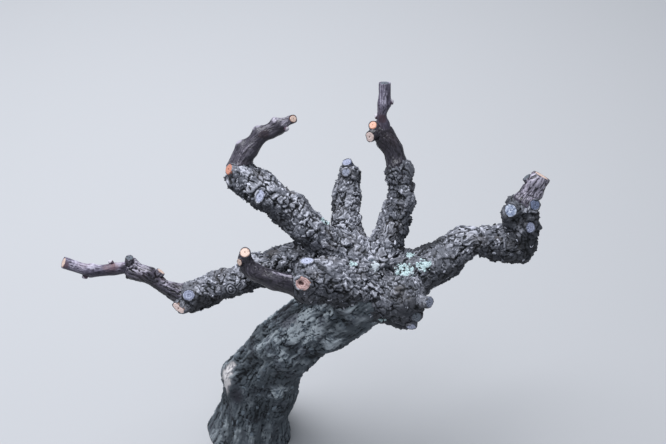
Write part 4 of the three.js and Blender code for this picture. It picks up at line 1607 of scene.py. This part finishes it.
class VINE_OT_flakes(bpy.types.Operator):
    """Loose flakes of bark that stand off the trunk and the arms"""

    bl_idname = "vine.flakes"
    bl_label = "Bark flakes"

    def execute(self, context):
        total = context.scene.vine_sizes.flakes
        rng = np.random.default_rng(5)
        for kind, flaky in FLAKY.items():
            for tone, share in flaky["tones"].items():
                loose_flakes(kind, tone, total * share, rng)
        return {"FINISHED"}


class VINE_OT_lichen(bpy.types.Operator):
    """Small crusts of lichen, as thin rounded lobes"""

    bl_idname = "vine.lichen"
    bl_label = "Lichen"

    def execute(self, context):
        rng = np.random.default_rng(9)
        grids = [lichen_patch(spot, rng) for spot in SPOTS["lichen"]]
        material = Nodes("lichen_lobes").finish((*colour("lichen_light"), 1), 0.95)
        flake_piece("lichen_lobes", grids, material)
        return {"FINISHED"}


class VINE_OT_buds(bpy.types.Operator):
    """The buds at the nodes of the canes"""

    bl_idname = "vine.buds"
    bl_label = "Buds"

    def execute(self, context):
        material = bud_material()
        for name, limb in LIMBS.items():
            for count, row in enumerate(limb["stubs"]):
                if row[3] < BUD_RADIUS:
                    points, woolly = bud_grid(*stub_frame(limb, row), row[3], row[4])
                    ends = [points[0].mean(0), points[-1].mean(0)]
                    values = {"woolly": woolly}
                    tube_piece(f"{name}_bud_{count + 1}", points, ends, material, values)
        return {"FINISHED"}


# The stage, in metres: the camera's place, how far it is tipped down in degrees, its lens and its
# sensor in millimetres; the light panel's place, what it is aimed at, its width, power and colour;
# the light of the room; and the floor's width, how far under the vine it lies, and its colour.
CAMERA_PLACE = (0.097, -0.594, 0.942)
CAMERA_TIP = 45
CAMERA_LENS = 50
CAMERA_SENSOR = 36
PANEL_PLACE = (-0.35, 0.45, 1.9)
PANEL_AIM = (0.1, 0.0, 0.28)
PANEL_WIDTH = 1.6
PANEL_POWER = 40
PANEL_COLOUR = (0.93, 0.96, 1.0)
ROOM_COLOUR = (0.85, 0.92, 1.0, 1)
ROOM_STRENGTH = 0.35
FLOOR_WIDTH = 12
FLOOR_DROP = 0.0005
FLOOR_CODE = "cbcbce"


def stage_floor():
    """A wide pale floor, a hair under the vine."""
    bpy.ops.mesh.primitive_plane_add(size=FLOOR_WIDTH, location=(0, 0, -FLOOR_DROP))
    floor = bpy.context.object
    floor.name = "floor"
    floor.data.materials.append(Nodes("floor_paper").finish((*rgb(FLOOR_CODE), 1), 0.95))


def stage_light(scene):
    """A wide round panel over and behind the vine, and the soft light of a pale room."""
    lamp = bpy.data.lights.new("sky_panel", "AREA")
    lamp.shape = "DISK"
    lamp.size = PANEL_WIDTH
    lamp.energy = PANEL_POWER
    lamp.color = PANEL_COLOUR
    panel = bpy.data.objects.new("sky_panel", lamp)
    panel.location = PANEL_PLACE
    aim = np.array(PANEL_AIM) - np.array(panel.location)
    tip = math.acos(-aim[2] / np.linalg.norm(aim))
    panel.rotation_euler = (tip, 0, math.atan2(aim[1], aim[0]) - math.pi / 2)
    scene.collection.objects.link(panel)

    world = bpy.data.worlds.new("pale_room")
    scene.world = world
    world.use_nodes = True
    backdrop = world.node_tree.nodes["Background"]
    backdrop.inputs["Color"].default_value = ROOM_COLOUR
    backdrop.inputs["Strength"].default_value = ROOM_STRENGTH


def stage_camera(scene):
    """The camera, tipped down towards the vine."""
    lens = bpy.data.cameras.new("camera")
    lens.lens = CAMERA_LENS
    lens.sensor_width = CAMERA_SENSOR
    camera = bpy.data.objects.new("camera", lens)
    camera.location = CAMERA_PLACE
    camera.rotation_euler = (math.radians(90 - CAMERA_TIP), 0, 0)
    scene.collection.objects.link(camera)
    scene.camera = camera
    scene.view_settings.view_transform = "Standard"


class VINE_OT_stage(bpy.types.Operator):
    """A pale floor, soft studio light and the camera"""

    bl_idname = "vine.stage"
    bl_label = "Stage"

    def execute(self, context):
        stage_floor()
        stage_light(context.scene)
        stage_camera(context.scene)
        return {"FINISHED"}


class VINE_PT_panel(bpy.types.Panel):
    """Lists the vine's sizes, colours and pieces"""

    bl_label = "Grapevine"
    bl_idname = "VINE_PT_panel"
    bl_space_type = "VIEW_3D"
    bl_region_type = "UI"
    bl_category = "Grapevine"

    def draw(self, context):
        """Draws a box for each property group, and a button for each operator."""
        for group in (context.scene.vine_sizes, context.scene.vine_colours):
            box = self.layout.box()
            for name in group.__annotations__:
                box.prop(group, name)
        for operator in OPERATORS:
            self.layout.operator(operator.bl_idname)


OPERATORS = (
    VINE_OT_stage, VINE_OT_trunk, VINE_OT_arms, VINE_OT_spurs, VINE_OT_canes, VINE_OT_stubs,
    VINE_OT_cuts, VINE_OT_flakes, VINE_OT_lichen, VINE_OT_buds,
)
CLASSES = (VineSizes, VineColours, *OPERATORS, VINE_PT_panel)


def register():
    for made in CLASSES:
        bpy.utils.register_class(made)
    bpy.types.Scene.vine_sizes = bpy.props.PointerProperty(type=VineSizes)
    bpy.types.Scene.vine_colours = bpy.props.PointerProperty(type=VineColours)


def unregister():
    del bpy.types.Scene.vine_colours
    del bpy.types.Scene.vine_sizes
    for made in reversed(CLASSES):
        bpy.utils.unregister_class(made)


def main():
    register()
    for operator in OPERATORS:
        getattr(bpy.ops.vine, operator.bl_idname.split(".")[1])()


if __name__ == "__main__":
    main()
